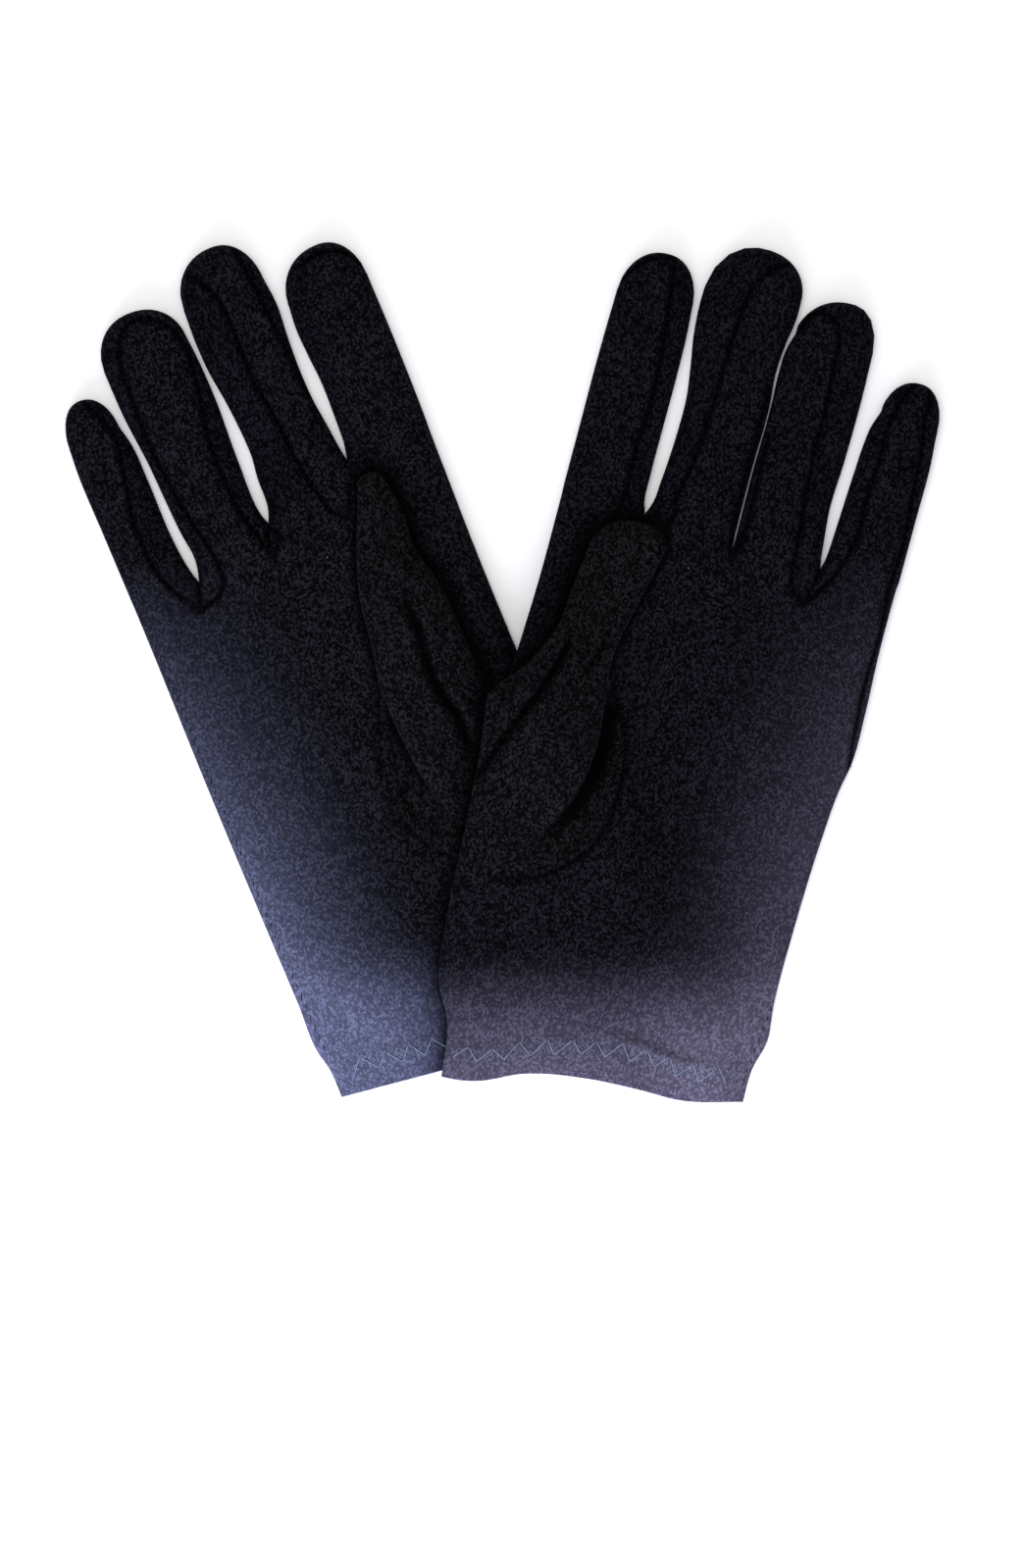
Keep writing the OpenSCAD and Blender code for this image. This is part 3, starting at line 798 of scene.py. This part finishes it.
def shell(glove):
    """Points, faces and tags of a glove's trank and fourchettes.

    The tags are 0 for the hand, 10 + i for finger i's two faces, and 20 + i and 30 + i for the
    strips on its near and far side."""
    grids = Grids()

    def add(x, y, closed, tag, top):
        """Adds a grid at its height. Where it is closed, the palm side and the back meet."""
        gap = distance(x.ravel(), y.ravel(), glove.outline)[0].reshape(x.shape)
        gap[closed] = 0
        height = palm_height if top else back_height
        z = height(glove, x.ravel(), y.ravel(), gap.ravel()).reshape(x.shape)
        grids.add(x, y, z, tag, not top)

    for cuff, top in ((glove.cuff, True), (glove.cuff_back, False)):
        for i, (x, y) in enumerate(hand_grid(glove, cuff)):
            closed = np.zeros(x.shape, bool)
            closed[-1, 0] = closed[-1, -1] = True
            if i == 0:
                closed[:, 0] = True
            if i == 3:
                closed[:, -1] = True
            add(x, y, closed, 0, top)
        for i in range(4):
            x, y = finger_grid(glove, i)
            fade = np.clip(1 - np.arange(len(x))[:, None] / 5, 0, 1) ** 2
            x = x + fade * (glove.between_gaps(i, x[0]) - x[0])
            closed = np.zeros(x.shape, bool)
            closed[:, 0] = closed[:, -1] = closed[-1] = True
            tag = np.full(columns, 10 + i)
            if i > 0:
                tag[:side_columns] = 20 + i
            if i < 3:
                tag[-side_columns:] = 30 + i
            add(x, y, closed, tag, top)
    return grids.welded()


def vertex_normals(points, faces):
    normals = np.zeros_like(points)
    a, b, c, d = (points[faces[:, k]] for k in range(4))
    area = np.cross(c - a, d - b)
    for k in range(4):
        np.add.at(normals, faces[:, k], area)
    size = np.linalg.norm(normals, axis=1, keepdims=True)
    return normals / np.maximum(size, 1e-12)


def seam_shade(glove, x, y):
    """Painted shade: 1 in the dark line of a seam's groove, 0 away from it."""
    shade = np.zeros(len(x))
    for line in glove.seams:
        fine = fine_line(line, 0.6)
        near = near_box(x, y, fine, 2)
        if len(near):
            gap, _ = distance(x[near], y[near], fine)
            shade[near] = np.maximum(shade[near], np.exp(-(gap / 0.75) ** 2))
    return shade


def cloth_piece(name, placed, faces, points, material, shade, normals=None):
    """A mesh object from places in the row frame, with the glove's flat x and y as its UV map.

    shade is painted shade, kept in the point attribute seam: how much of its colour each point loses in a
    seam, a crease, a hollow or a line of contact."""
    used, renamed = np.unique(faces.ravel(), return_inverse=True)
    polygons = [list(dict.fromkeys(f)) for f in renamed.reshape(faces.shape).tolist()]
    mesh = bpy.data.meshes.new(name)
    mesh.from_pydata(placed[used].tolist(), [], polygons)
    mesh.materials.append(material)
    # painted shade, stored under the name seam
    dark = mesh.attributes.new("seam", "FLOAT", "POINT")
    dark.data.foreach_set("value", shade[used].astype(np.float32))
    layer = mesh.uv_layers.new(name="cloth")
    corner = np.empty(len(mesh.loops), np.int32)
    mesh.loops.foreach_get("vertex_index", corner)
    layer.data.foreach_set("uv", (points[used, :2][corner] * MM).astype(np.float32).ravel())
    mesh.polygons.foreach_set("use_smooth", np.ones(len(mesh.polygons), bool))
    if normals is not None:
        mesh.normals_split_custom_set_from_vertices(normals[used].tolist())
    mesh.update()
    made = bpy.data.objects.new(name, mesh)
    scene.collection.objects.link(made)
    return made


def bend_at_root(piece):
    """Bakes the piece's transform into its mesh."""
    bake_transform(piece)


# ---------------------------------------------------------------------------------------
# The thumbs. Each is a tapered tube of the same jersey, cut on its own and set into a
# keyhole in the palm. Its base is sewn round the keyhole, and its empty end folds over and
# lies on the palm with soft creases, leaving a hollow beside it.
# ---------------------------------------------------------------------------------------


thumb_cloth_lift = 0.35   # the thumb's cloth lies this far above the palm's
thumb_columns = 34
thumb_rows = 46           # of the loose end
hollow_columns = 16
hollow_shelf = 2.0        # next to the keyhole's seam the cloth stays level this far
palm_side = 2.5           # cloth higher than this above its ground belongs to the palm side
keyhole_margin = 1.3      # the palm's cloth reaches this far under the thumb's base
contact_reach = 3.2       # the painted contact shade fades over this distance


class Thumb(FlatTube):
    """A thumb from the keyhole's lower end at y0, over its fold, to its tip.

    left, right, keyhole and bodies are lists of (y, x) or (y, height). Each crease has a depth,
    a width and a line. hollow is where the painted shade in the hollow beside the thumb starts, that shade's
    width, and the depth of the dip."""

    def __init__(self, glove, left, right, keyhole, tip, caps, bodies, creases, hollow, y0, fold):
        self.glove = glove
        super().__init__(left, right, tip, caps)
        self.hollow_low, self.hollow_width, self.hollow_depth = hollow
        self.keyhole = smooth_curve(keyhole)
        self.body = smooth_curve(bodies)
        self.creases = creases
        self.y0 = y0
        self.fold = fold
        top_l, top_r = tip[1] - caps[0], tip[1] - caps[1]
        ys = np.arange(y0, top_l, 1.0)
        line = [(self.left(y), y) for y in ys]
        xs = np.linspace(float(self.left(top_l)), float(self.right(top_r)), 40)
        line += [(x, self.end(x)) for x in xs]
        line += [(self.right(y), y) for y in np.arange(top_r, y0, -1.0)]
        self.outline = np.array([(float(a), float(b)) for a, b in line])

    def relief(self, x, y):
        """The creases, each a groove between two low shoulders."""
        drop = np.zeros(len(x))
        for depth, width, line in self.creases:
            fine = curve_through(line, 8)
            gap, along = distance(x, y, fine)
            whole = np.linalg.norm(np.diff(fine, axis=0), axis=1).sum()
            fade = ease(along / 6) * ease((whole - along) / 6)
            drop -= depth * fade * np.exp(-(gap / width) ** 2)
            drop += 0.35 * depth * fade * np.exp(-((gap - 2.2 * width) / (1.3 * width)) ** 2)
        return drop

    def shade(self, x, y):
        """Painted shade: 1 in the hollow beside the thumb, in its creases, along its keyhole and under the
        other.
        """
        shade = np.zeros(len(x))
        for depth, width, line in self.creases:
            gap, _ = distance(x, y, fine_line(line, 0.6))
            shade = np.maximum(shade, min(depth / 2.6, 1) * np.exp(-(gap / width) ** 2))
        beside = x - self.right(y)
        room = self.keyhole(y) - self.right(y)
        hollow = (ease((room - 1.5) / 3) * ease((y - self.hollow_low) / 20)
                  * ease((self.hollow_width - beside) / 2.5))
        shade = np.where((beside > -0.2) & (y < self.fold + 3), np.maximum(shade, hollow), shade)
        if self.glove is right_glove:
            over_x, over_y = right_glove.seen_from(left_glove, x, y)
            gap, _ = distance(over_x, over_y, left_thumb.outline)
            shade = np.maximum(shade, np.exp(-(gap / 2.6) ** 2))
        return np.maximum(shade, self.keyhole_shade(x, y))

    def keyhole_shade(self, x, y):
        """Painted shade: 1 in the dark line of the keyhole's seam, 0 away from it."""
        ys = np.linspace(self.y0 + 0.5, self.fold - 2, 60)
        gap, _ = distance(x, y, np.column_stack([self.keyhole(ys), ys]))
        return np.exp(-(gap / 0.95) ** 2) * (y < self.fold - 1)

    def under_other(self, x, y):
        """1 in the open, 0 where the other glove's edge presses the thumb flat."""
        if self.glove is left_glove:
            return np.ones(len(x))
        over, _ = right_glove.seen_from(left_glove, x, y)
        return ease((-3.0 - over) / 6.5)

    def top(self, x, y):
        """Height of the thumb's upper face."""
        ground = palm_height(self.glove, x, y, seams=False)
        gap = distance(x, y, self.outline)[0]
        inside = (x > self.left(y)) & (x < self.right(y)) & (y < self.end(x) + 0.01)
        gap = np.where(inside, gap, 0)
        body = self.body(y) * self.under_other(x, y)
        rise = body * crown(gap / 5.0) + 0.25 * bump_noise(x, y, 9, 2.2) * ease(gap / 4)
        return ground + thumb_cloth_lift + rise + self.relief(x, y) * ease(gap / 3) * ease(body / 2)


left_thumb = Thumb(
    left_glove,
    left=[(-116, 2.5), (-108, 1.0), (-94, -0.4), (-80, -1.6), (-72, -2.8), (-66.6, -3.4), (-62, -0.6),
          (-57, 3.6), (-51, 6.8), (-43.5, 9.6), (-35, 10.3), (-22, 11.6), (-15, 12.2)],
    right=[(-116, 7), (-106, 15), (-98, 20.5), (-93.8, 23.2), (-87.6, 25.9), (-80, 27.7), (-72.8, 28.4),
           (-59, 27.2), (-52, 26.3), (-45.6, 26.2), (-35.6, 28.1), (-22, 30.9), (-14, 32.6)],
    keyhole=[(-116, 8), (-113.6, 13), (-112, 18.5), (-107, 26.9), (-101.4, 32.6), (-94, 36.2), (-84.4, 37.3),
             (-75, 37.0), (-65, 34.1), (-57.8, 29.4), (-52, 26.8)],
    tip=(24.2, -10.8), caps=(10.5, 5.5),
    bodies=[(-116, 0.0), (-106, 0.5), (-98, 1.4), (-88, 2.8), (-75, 4.0), (-60, 4.7), (-48, 4.9), (-30, 4.4),
            (-10, 3.6)],
    creases=[(3.0, 1.15, [(13.6, -47), (12.4, -53), (9.9, -61.5), (6.4, -70.5), (3.0, -79), (0.4, -88)]),
             (1.5, 1.0, [(22.6, -42), (22, -47.5), (19.4, -55)]),
             (0.5, 2.2, [(17, -66), (20, -76), (17, -86)])],
    hollow=(-108, 5.5, 3.0), y0=-115.2, fold=-54)

right_thumb = Thumb(
    right_glove,
    left=[(-116, 2.0), (-108, 1.6), (-95, 2.5), (-80, 7), (-72, 10.5), (-66.6, 12), (-58.6, 12.8),
          (-46.8, 12.9),
          (-36.7, 13.8), (-24.9, 16.4), (-14.8, 15.6), (-5, 17.0)],
    right=[(-116, 13), (-108, 22), (-100, 31), (-88, 36.6), (-76, 38.6), (-66, 39.2), (-55.8, 38.9),
           (-46.8, 37.2), (-32.8, 35.2), (-20, 31), (-10, 26.6), (-4, 24.2)],
    keyhole=[(-116, 17), (-113.6, 24), (-111, 32), (-107.6, 37.5), (-102.9, 42.1), (-93.1, 47.1),
             (-83.1, 47.9),
             (-72.2, 45.8), (-62.3, 41.8), (-57, 39.8), (-52, 38.4)],
    tip=(20.6, -2.2), caps=(4.5, 4.0),
    bodies=[(-116, 0.0), (-106, 0.6), (-98, 1.5), (-88, 2.9), (-75, 3.9), (-60, 4.5), (-48, 4.7), (-30, 4.2),
            (-2, 2.6)],
    creases=[(3.0, 1.25, [(24.0, -38), (23.8, -46.7), (24.7, -61.5), (22.3, -73.5), (23.2, -82)]),
             (0.8, 1.5, [(19.5, -12), (20.5, -24), (19, -34)])],
    hollow=(-98, 3.0, 1.6), y0=-115.2, fold=-54)


def thumb_shell(thumb):
    """Points, faces and tags: 0 for the base, 1 for the loose end."""
    glove = thumb.glove
    grids = Grids()
    share = spread(thumb_columns)

    # the base, from the keyhole's lower end to the fold, tucked in along the glove's own fold
    s = np.linspace(0, 1, 60)[:, None]
    row_y = thumb.y0 + (thumb.fold - thumb.y0) * s ** 1.25
    x = thumb.left(row_y) + (thumb.right(row_y) - thumb.left(row_y)) * share
    y = np.repeat(row_y, x.shape[1], axis=1)
    z = thumb.top(x.ravel(), y.ravel()).reshape(x.shape)
    tucked = x[:, :1] + np.array([3.5, 0.8, -0.1])
    low = lay(glove, x[:, 0], y[:, 0])[:, None] + np.array([0.5, 0.35, 1.2])
    inner = z[:, :1] - 0.4
    over_edge = ease((1.5 - x[:, :1]) / 2.5) * ease((s - 0.05) / 0.3)
    base_x = np.concatenate([tucked, x], 1)
    base_z = np.concatenate([inner + (low - inner) * over_edge, z], 1)
    grids.add(base_x, np.repeat(row_y, base_x.shape[1], axis=1), base_z, 0, False)

    # the hollow between the base and the far side of the keyhole
    out = np.linspace(0, 1, hollow_columns + 1)
    width = np.maximum(thumb.keyhole(row_y) - x[:, -1:], 0.15)
    deep = ease((width - 2) / 4) * ease((row_y - thumb.y0 - 5) / 24)
    undercut = 1.3 * deep * np.where(out > 0, np.clip(1 - out * 5, 0, 1) ** 0.5, 0)
    hollow_x = x[:, -1:] + width * out - undercut
    hollow_y = np.repeat(row_y, len(out), axis=1)
    ground = palm_height(glove, hollow_x.ravel(), hollow_y.ravel(), seams=False).reshape(hollow_x.shape)
    from_seam = width * (1 - out)
    dip = thumb.hollow_depth * deep * ease((from_seam - hollow_shelf) / 3.2)
    seam_edge = np.exp(-from_seam / 0.45)
    hollow_z = ground + thumb_cloth_lift - dip - (thumb_cloth_lift + 0.3) * seam_edge
    hollow_z[:, 0] = z[:, -1]
    grids.add(hollow_x, hollow_y, hollow_z, 0, False)

    # the loose end, a flat tube closed at the tip
    end = np.full(len(share), thumb.tip[1] - 3.0)
    for _ in range(25):
        x_end = thumb.left(end) + (thumb.right(end) - thumb.left(end)) * share
        end = 0.5 * end + 0.5 * thumb.end(x_end)
    v = np.linspace(0, 1, thumb_rows + 1)[:, None]
    v = 0.7 * v + 0.3 * np.sin(v * math.pi / 2)
    y = thumb.fold + (end - thumb.fold) * v
    x = thumb.left(y) + (thumb.right(y) - thumb.left(y)) * share
    z = thumb.top(x.ravel(), y.ravel()).reshape(x.shape)
    under = palm_height(glove, x.ravel(), y.ravel(), seams=False).reshape(x.shape) + thumb_cloth_lift
    under[:, 0], under[:, -1], under[-1] = z[:, 0], z[:, -1], z[-1]
    grids.add(x, y, z, 1, False)
    grids.add(x, y, under, 1, True)
    return grids.welded()


thumbs = {"left": left_thumb, "right": right_thumb}
for side, thumb in thumbs.items():
    glove = thumb.glove
    points, faces, tags = thumb_shell(thumb)
    placed = glove.to_row(points)
    if glove is right_glove:
        faces = faces[:, ::-1]
    normals = vertex_normals(placed, faces)
    # painted shade of the thumb's hollow, creases and keyhole, and along the other glove's thumb
    shade = thumb.shade(points[:, 0], points[:, 1])
    base = cloth_piece(f"{side}_thumb_gusset", placed, faces[tags == 0], points, thumb_cloth, shade, normals)
    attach(base, f"{side}_hand")
    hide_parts(f"{side}_thumb_base")
    end = cloth_piece(f"{side}_thumb_cloth", placed, faces[tags == 1], points, thumb_cloth, shade, normals)
    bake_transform(end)
    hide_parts(f"{side}_thumb_stall")


def in_keyhole(thumb, points, faces):
    """Faces of the palm's cloth that the thumb's keyhole cuts away, under the thumb's base."""
    x, y, z = points[faces].mean(axis=1).T
    on_palm = z - lay(thumb.glove, x, y) > palm_side
    return (on_palm & (y > thumb.y0 + 3) & (y < thumb.fold - 1.5) & (x > keyhole_margin + 1.5)
            & (x > thumb.left(y) + 2 * keyhole_margin) & (x < thumb.keyhole(y) - keyhole_margin))


def contact_shade(glove, thumb, points):
    """Painted contact shade: the cloth's colour darkens where the thumb lies on the palm, and beside the
    glove on top.
    """
    x, y, z = points.T
    gap, _ = distance(x, y, thumb.outline)
    on_palm = z - lay(glove, x, y) > palm_side
    past_right = x > thumb.right(np.minimum(y, thumb.tip[1] - thumb.caps[1]))
    reach = np.where(past_right, 0.5, 1.3) * contact_reach
    shade = np.exp(-(gap / reach) ** 2) * on_palm * ease((y - thumb.y0 - 12) / 30)
    shade = np.maximum(shade, thumb.keyhole_shade(x, y) * on_palm)
    if glove is right_glove:
        over_x, over_y = left_glove.from_row(glove.to_row(points))
        beside = np.abs(over_x - left_glove.fold_edge(over_y))
        shade = np.maximum(shade, 0.95 * np.exp(-beside / contact_reach) * on_palm)
    return shade


for side, glove in gloves.items():
    points, faces, tags = shell(glove)
    placed = glove.to_row(points)
    if glove is right_glove:
        faces = faces[:, ::-1]
    normals = vertex_normals(placed, faces)
    # painted shade of the seams, the keyhole and the contact with the thumb and the glove on top
    shade = np.maximum(seam_shade(glove, points[:, 0], points[:, 1]),
                       contact_shade(glove, thumbs[side], points))
    hand_faces = faces[(tags == 0) & ~in_keyhole(thumbs[side], points, faces)]
    hand = cloth_piece(f"{side}_hand_cloth", placed, hand_faces, points, trank_cloth[side], shade, normals)
    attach(hand, f"{side}_hand")
    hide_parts(f"{side}_palm_panel", f"{side}_back_panel")
    for i, finger in enumerate(FINGERS):
        stall = cloth_piece(f"{side}_{finger}_finger_cloth", placed, faces[tags == 10 + i], points,
                            trank_cloth[side], shade, normals)
        bend_at_root(stall)
        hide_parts(f"{side}_{finger}_stall")
        for tag, other in ((20, i - 1), (30, i + 1)):
            if not 0 <= other <= 3:
                continue
            strip = cloth_piece(f"{side}_{finger}_strip_by_{FINGERS[other]}", placed, faces[tags == tag + i],
                                points, gusset_cloth, shade, normals)
            bend_at_root(strip)
            node = f"{side}_{finger}_fourchette"
            if finger in ("middle", "ring"):
                node += f"_{FINGERS[other]}_side"
            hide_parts(node)

# ---------------------------------------------------------------------------------------
# The hems. Each cuff's edge is turned in once and held by one line of zigzag in a paler
# thread. The turned cloth rolls round the edge and shows inside the open cuff.
# ---------------------------------------------------------------------------------------
cloth_thickness = 0.45
hem_roll = 6             # segments round the rolled edge
hem_columns = 90
zigzag_pitch = 6.6
zigzag_reach = 2.1       # half the width of the zigzag
zigzag_middle = 7.0      # from the cuff's edge to the middle of the zigzag


def hem_cloth(glove):
    """Rows of the turned-in cloth at the cuff, on the palm side and then on the back."""
    share = spread(hem_columns)
    band = []
    for k in range(hem_roll + 1):
        turn = math.pi * k / hem_roll
        band.append((-0.5 * cloth_thickness * math.sin(turn), 0.5 * cloth_thickness * (1 - math.cos(turn))))
    band += [(hem_width * q, cloth_thickness + 0.05) for q in (0.2, 0.5, 0.8, 1.0)]
    rows = []
    for top in (True, False):
        cuff = glove.cuff if top else glove.cuff_back
        start = glove.fold_edge(cuff(np.zeros(1)))[0]
        x = start + share * (glove.outer_edge(cuff(np.full(1, 93.0)))[0] - start)
        for _ in range(3):
            base = cuff(x)
            x = glove.fold_edge(base) + share * (glove.outer_edge(base) - glove.fold_edge(base))
        for step, inset in band:
            y = base + step
            row_x = glove.fold_edge(y) + share * (glove.outer_edge(y) - glove.fold_edge(y))
            gap = distance(row_x, y, glove.outline)[0]
            gap[0] = gap[-1] = 0
            palm, back = palm_height(glove, row_x, y, gap), back_height(glove, row_x, y, gap)
            middle = (palm + back) / 2
            z = np.maximum(palm - inset, middle) if top else np.minimum(back + inset, middle)
            rows.append(np.stack([row_x, y, z], 1))
    return rows


for side, glove in gloves.items():
    rows = hem_cloth(glove)
    points = np.concatenate(rows)
    half = len(rows) // 2
    faces = []
    for part in (0, 1):
        for r in range(half - 1):
            a = (part * half + r) * (hem_columns + 1) + np.arange(hem_columns)
            quads = np.stack([a, a + 1, a + hem_columns + 2, a + hem_columns + 1], 1)
            faces.append(quads if part else quads[:, ::-1])
    faces = np.concatenate(faces)
    if glove is right_glove:
        faces = faces[:, ::-1]
    placed = glove.to_row(points)
    # the hem's colour carries painted contact shade
    hem = cloth_piece(f"{side}_turned_hem", placed, faces, points, hem_jersey[side],
                      contact_shade(glove, thumbs[side], points))
    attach(hem, f"{side}_hand")
    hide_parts(f"{side}_cuff_hem")

# ---------------------------------------------------------------------------------------
# The thread. The finger, web, side and thumb seams are stitched in dark thread that shows
# as short slanting stitches in the seam's groove. The hem's zigzag is paler.
# ---------------------------------------------------------------------------------------


def thread_mesh(name, glove, runs, radius, material):
    """Tubes along runs of flat-frame points, as one mesh."""
    sides = 6
    points, faces = [], []
    count = 0
    for run in runs:
        run = glove.to_row(np.array(run, float))
        ahead = np.gradient(run, axis=0)
        ahead /= np.maximum(np.linalg.norm(ahead, axis=1, keepdims=True), 1e-12)
        side_way = np.cross(ahead, (0, 0, 1))
        side_way /= np.maximum(np.linalg.norm(side_way, axis=1, keepdims=True), 1e-12)
        up = np.cross(side_way, ahead)
        taper = np.full(len(run), radius * MM)
        taper[0] = taper[-1] = radius * MM * 0.45
        turns = np.arange(sides) * 2 * math.pi / sides
        ring = (run[:, None] + taper[:, None, None] * (
            np.cos(turns)[None, :, None] * side_way[:, None] + np.sin(turns)[None, :, None] * up[:, None]))
        points.append(ring.reshape(-1, 3))
        for r in range(len(run) - 1):
            for k in range(sides):
                a, b = count + r * sides + k, count + r * sides + (k + 1) % sides
                faces.append((a, b, b + sides, a + sides))
        faces.append(tuple(count + k for k in range(sides))[::-1])
        faces.append(tuple(count + (len(run) - 1) * sides + k for k in range(sides)))
        count += len(run) * sides
    mesh = bpy.data.meshes.new(name)
    mesh.from_pydata(np.concatenate(points).tolist(), [], faces)
    mesh.materials.append(material)
    mesh.polygons.foreach_set("use_smooth", np.ones(len(mesh.polygons), bool))
    made = bpy.data.objects.new(name, mesh)
    scene.collection.objects.link(made)
    return made


def seam_stitches(line, height, pitch=stitch_pitch, length=1.5, slant=0.5, rise=0.16, seed=1):
    """Short stitches across a seam's line, bowed over its groove."""
    fine = fine_line(line)
    random = np.random.default_rng(seed)
    runs = []
    skip = int(pitch / fine_step)
    for k in range(skip // 2, len(fine) - 2, skip):
        ahead = fine[k + 2] - fine[max(k - 2, 0)]
        ahead /= max(np.linalg.norm(ahead), 1e-9)
        across = np.array([-ahead[1], ahead[0]]) + ahead * (slant + random.uniform(-0.2, 0.2))
        across /= np.linalg.norm(across)
        q = np.linspace(-0.5, 0.5, 5)[:, None]
        flat = fine[k] + across * q * length * random.uniform(0.85, 1.1)
        z = height(flat[:, 0], flat[:, 1])
        z = z + rise * np.array([0, 0.7, 1, 0.7, 0]) - 0.06
        runs.append(np.column_stack([flat, z]))
    return runs


for side, glove in gloves.items():
    on_palm = partial(palm_height, glove)
    by_finger = [[] for _ in FINGERS]
    web, outer = [], []
    gaps_x, gaps_y = zip(*glove.crotches)
    for number, line in enumerate(glove.seams):
        for run in seam_stitches(line, on_palm, seed=number + 7):
            x, y = run[:, 0].mean(), run[:, 1].mean()
            if y >= min(gaps_y) - 1:
                by_finger[np.searchsorted(gaps_x, x)].append(run)
            elif x > gaps_x[2] + 8:
                outer.append(run)
            else:
                web.append(run)
    for number, (x, y) in enumerate(glove.webs):
        for k in range(9):
            turn = k * 0.7 + number
            line = [(x + 1.6 * math.cos(turn), y + 1.0 + 1.6 * math.sin(turn)),
                    (x - 0.5 * math.cos(turn), y)]
            web += seam_stitches(line, on_palm, pitch=0.9, length=1.3, rise=0.35,
                                 seed=40 + 9 * number + k)
    outer += seam_stitches(glove.side_seam, on_palm, pitch=3.0, length=1.7, slant=2.2, seed=3)
    for i, finger in enumerate(FINGERS):
        sewn = thread_mesh(f"{side}_{finger}_seam_thread", glove, by_finger[i], 0.12, seam_thread)
        bend_at_root(sewn)
        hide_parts(f"{side}_{finger}_stitches")
    for name, node, runs in (("web_thread", "web_stitches", web), ("side_thread", "side_stitches", outer)):
        sewn = thread_mesh(f"{side}_{name}", glove, runs, 0.13, seam_thread)
        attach(sewn, f"{side}_hand")
        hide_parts(f"{side}_{node}")

    thumb = thumbs[side]
    ys = np.concatenate([np.linspace(thumb.y0 + 0.4, -100, 12), np.linspace(-97, -58, 12)])
    line = [(float(thumb.keyhole(y)) + 0.35, y) for y in ys]
    runs = seam_stitches(line, on_palm, rise=0.3, seed=5)
    sewn = thread_mesh(f"{side}_keyhole_thread", glove, runs, 0.12, seam_thread)
    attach(sewn, f"{side}_hand")
    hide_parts(f"{side}_thumb_opening_stitches")
    tip_x, tip_y = thumb.tip
    reach = thumb.right(tip_y - thumb.caps[1]) - tip_x
    xs = tip_x + reach * np.array([-0.55, -0.2, 0.15, 0.5, 0.78, 0.93])
    line = [(x, float(thumb.end(x)) - 1.5) for x in xs]
    runs = seam_stitches(line, thumb.top, pitch=1.8, length=1.2, seed=6)
    sewn = thread_mesh(f"{side}_thumb_seam_thread", glove, runs, 0.12, seam_thread)
    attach(sewn, f"{side}_thumb")
    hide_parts(f"{side}_thumb_stitches")

    # zigzag: two turns to each repeat, pulled a little into the cloth at the needle holes
    low_x, high_x = glove.zigzag
    turns = int((high_x - low_x) / (zigzag_pitch / 2))
    random = np.random.default_rng(21)
    corner = []
    for k in range(turns + 1):
        x = low_x + k * zigzag_pitch / 2 + random.uniform(-0.35, 0.35)
        up = zigzag_middle + (zigzag_reach if k % 2 else -zigzag_reach) + random.uniform(-0.4, 0.4)
        corner.append((x, float(glove.cuff(x)) + up))
    runs = []
    for a, b in zip(corner[:-1], corner[1:]):
        q = np.linspace(0, 1, 9)[:, None]
        flat = np.array(a) + (np.array(b) - np.array(a)) * q
        z = palm_height(glove, flat[:, 0], flat[:, 1]) + 0.22 * np.sin(math.pi * q[:, 0]) ** 0.5 - 0.05
        runs.append(np.column_stack([flat, z]))
    sewn = thread_mesh(f"{side}_zigzag_thread", glove, runs, 0.10, hem_thread)
    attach(sewn, f"{side}_hand")
    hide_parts(f"{side}_hem_stitches")
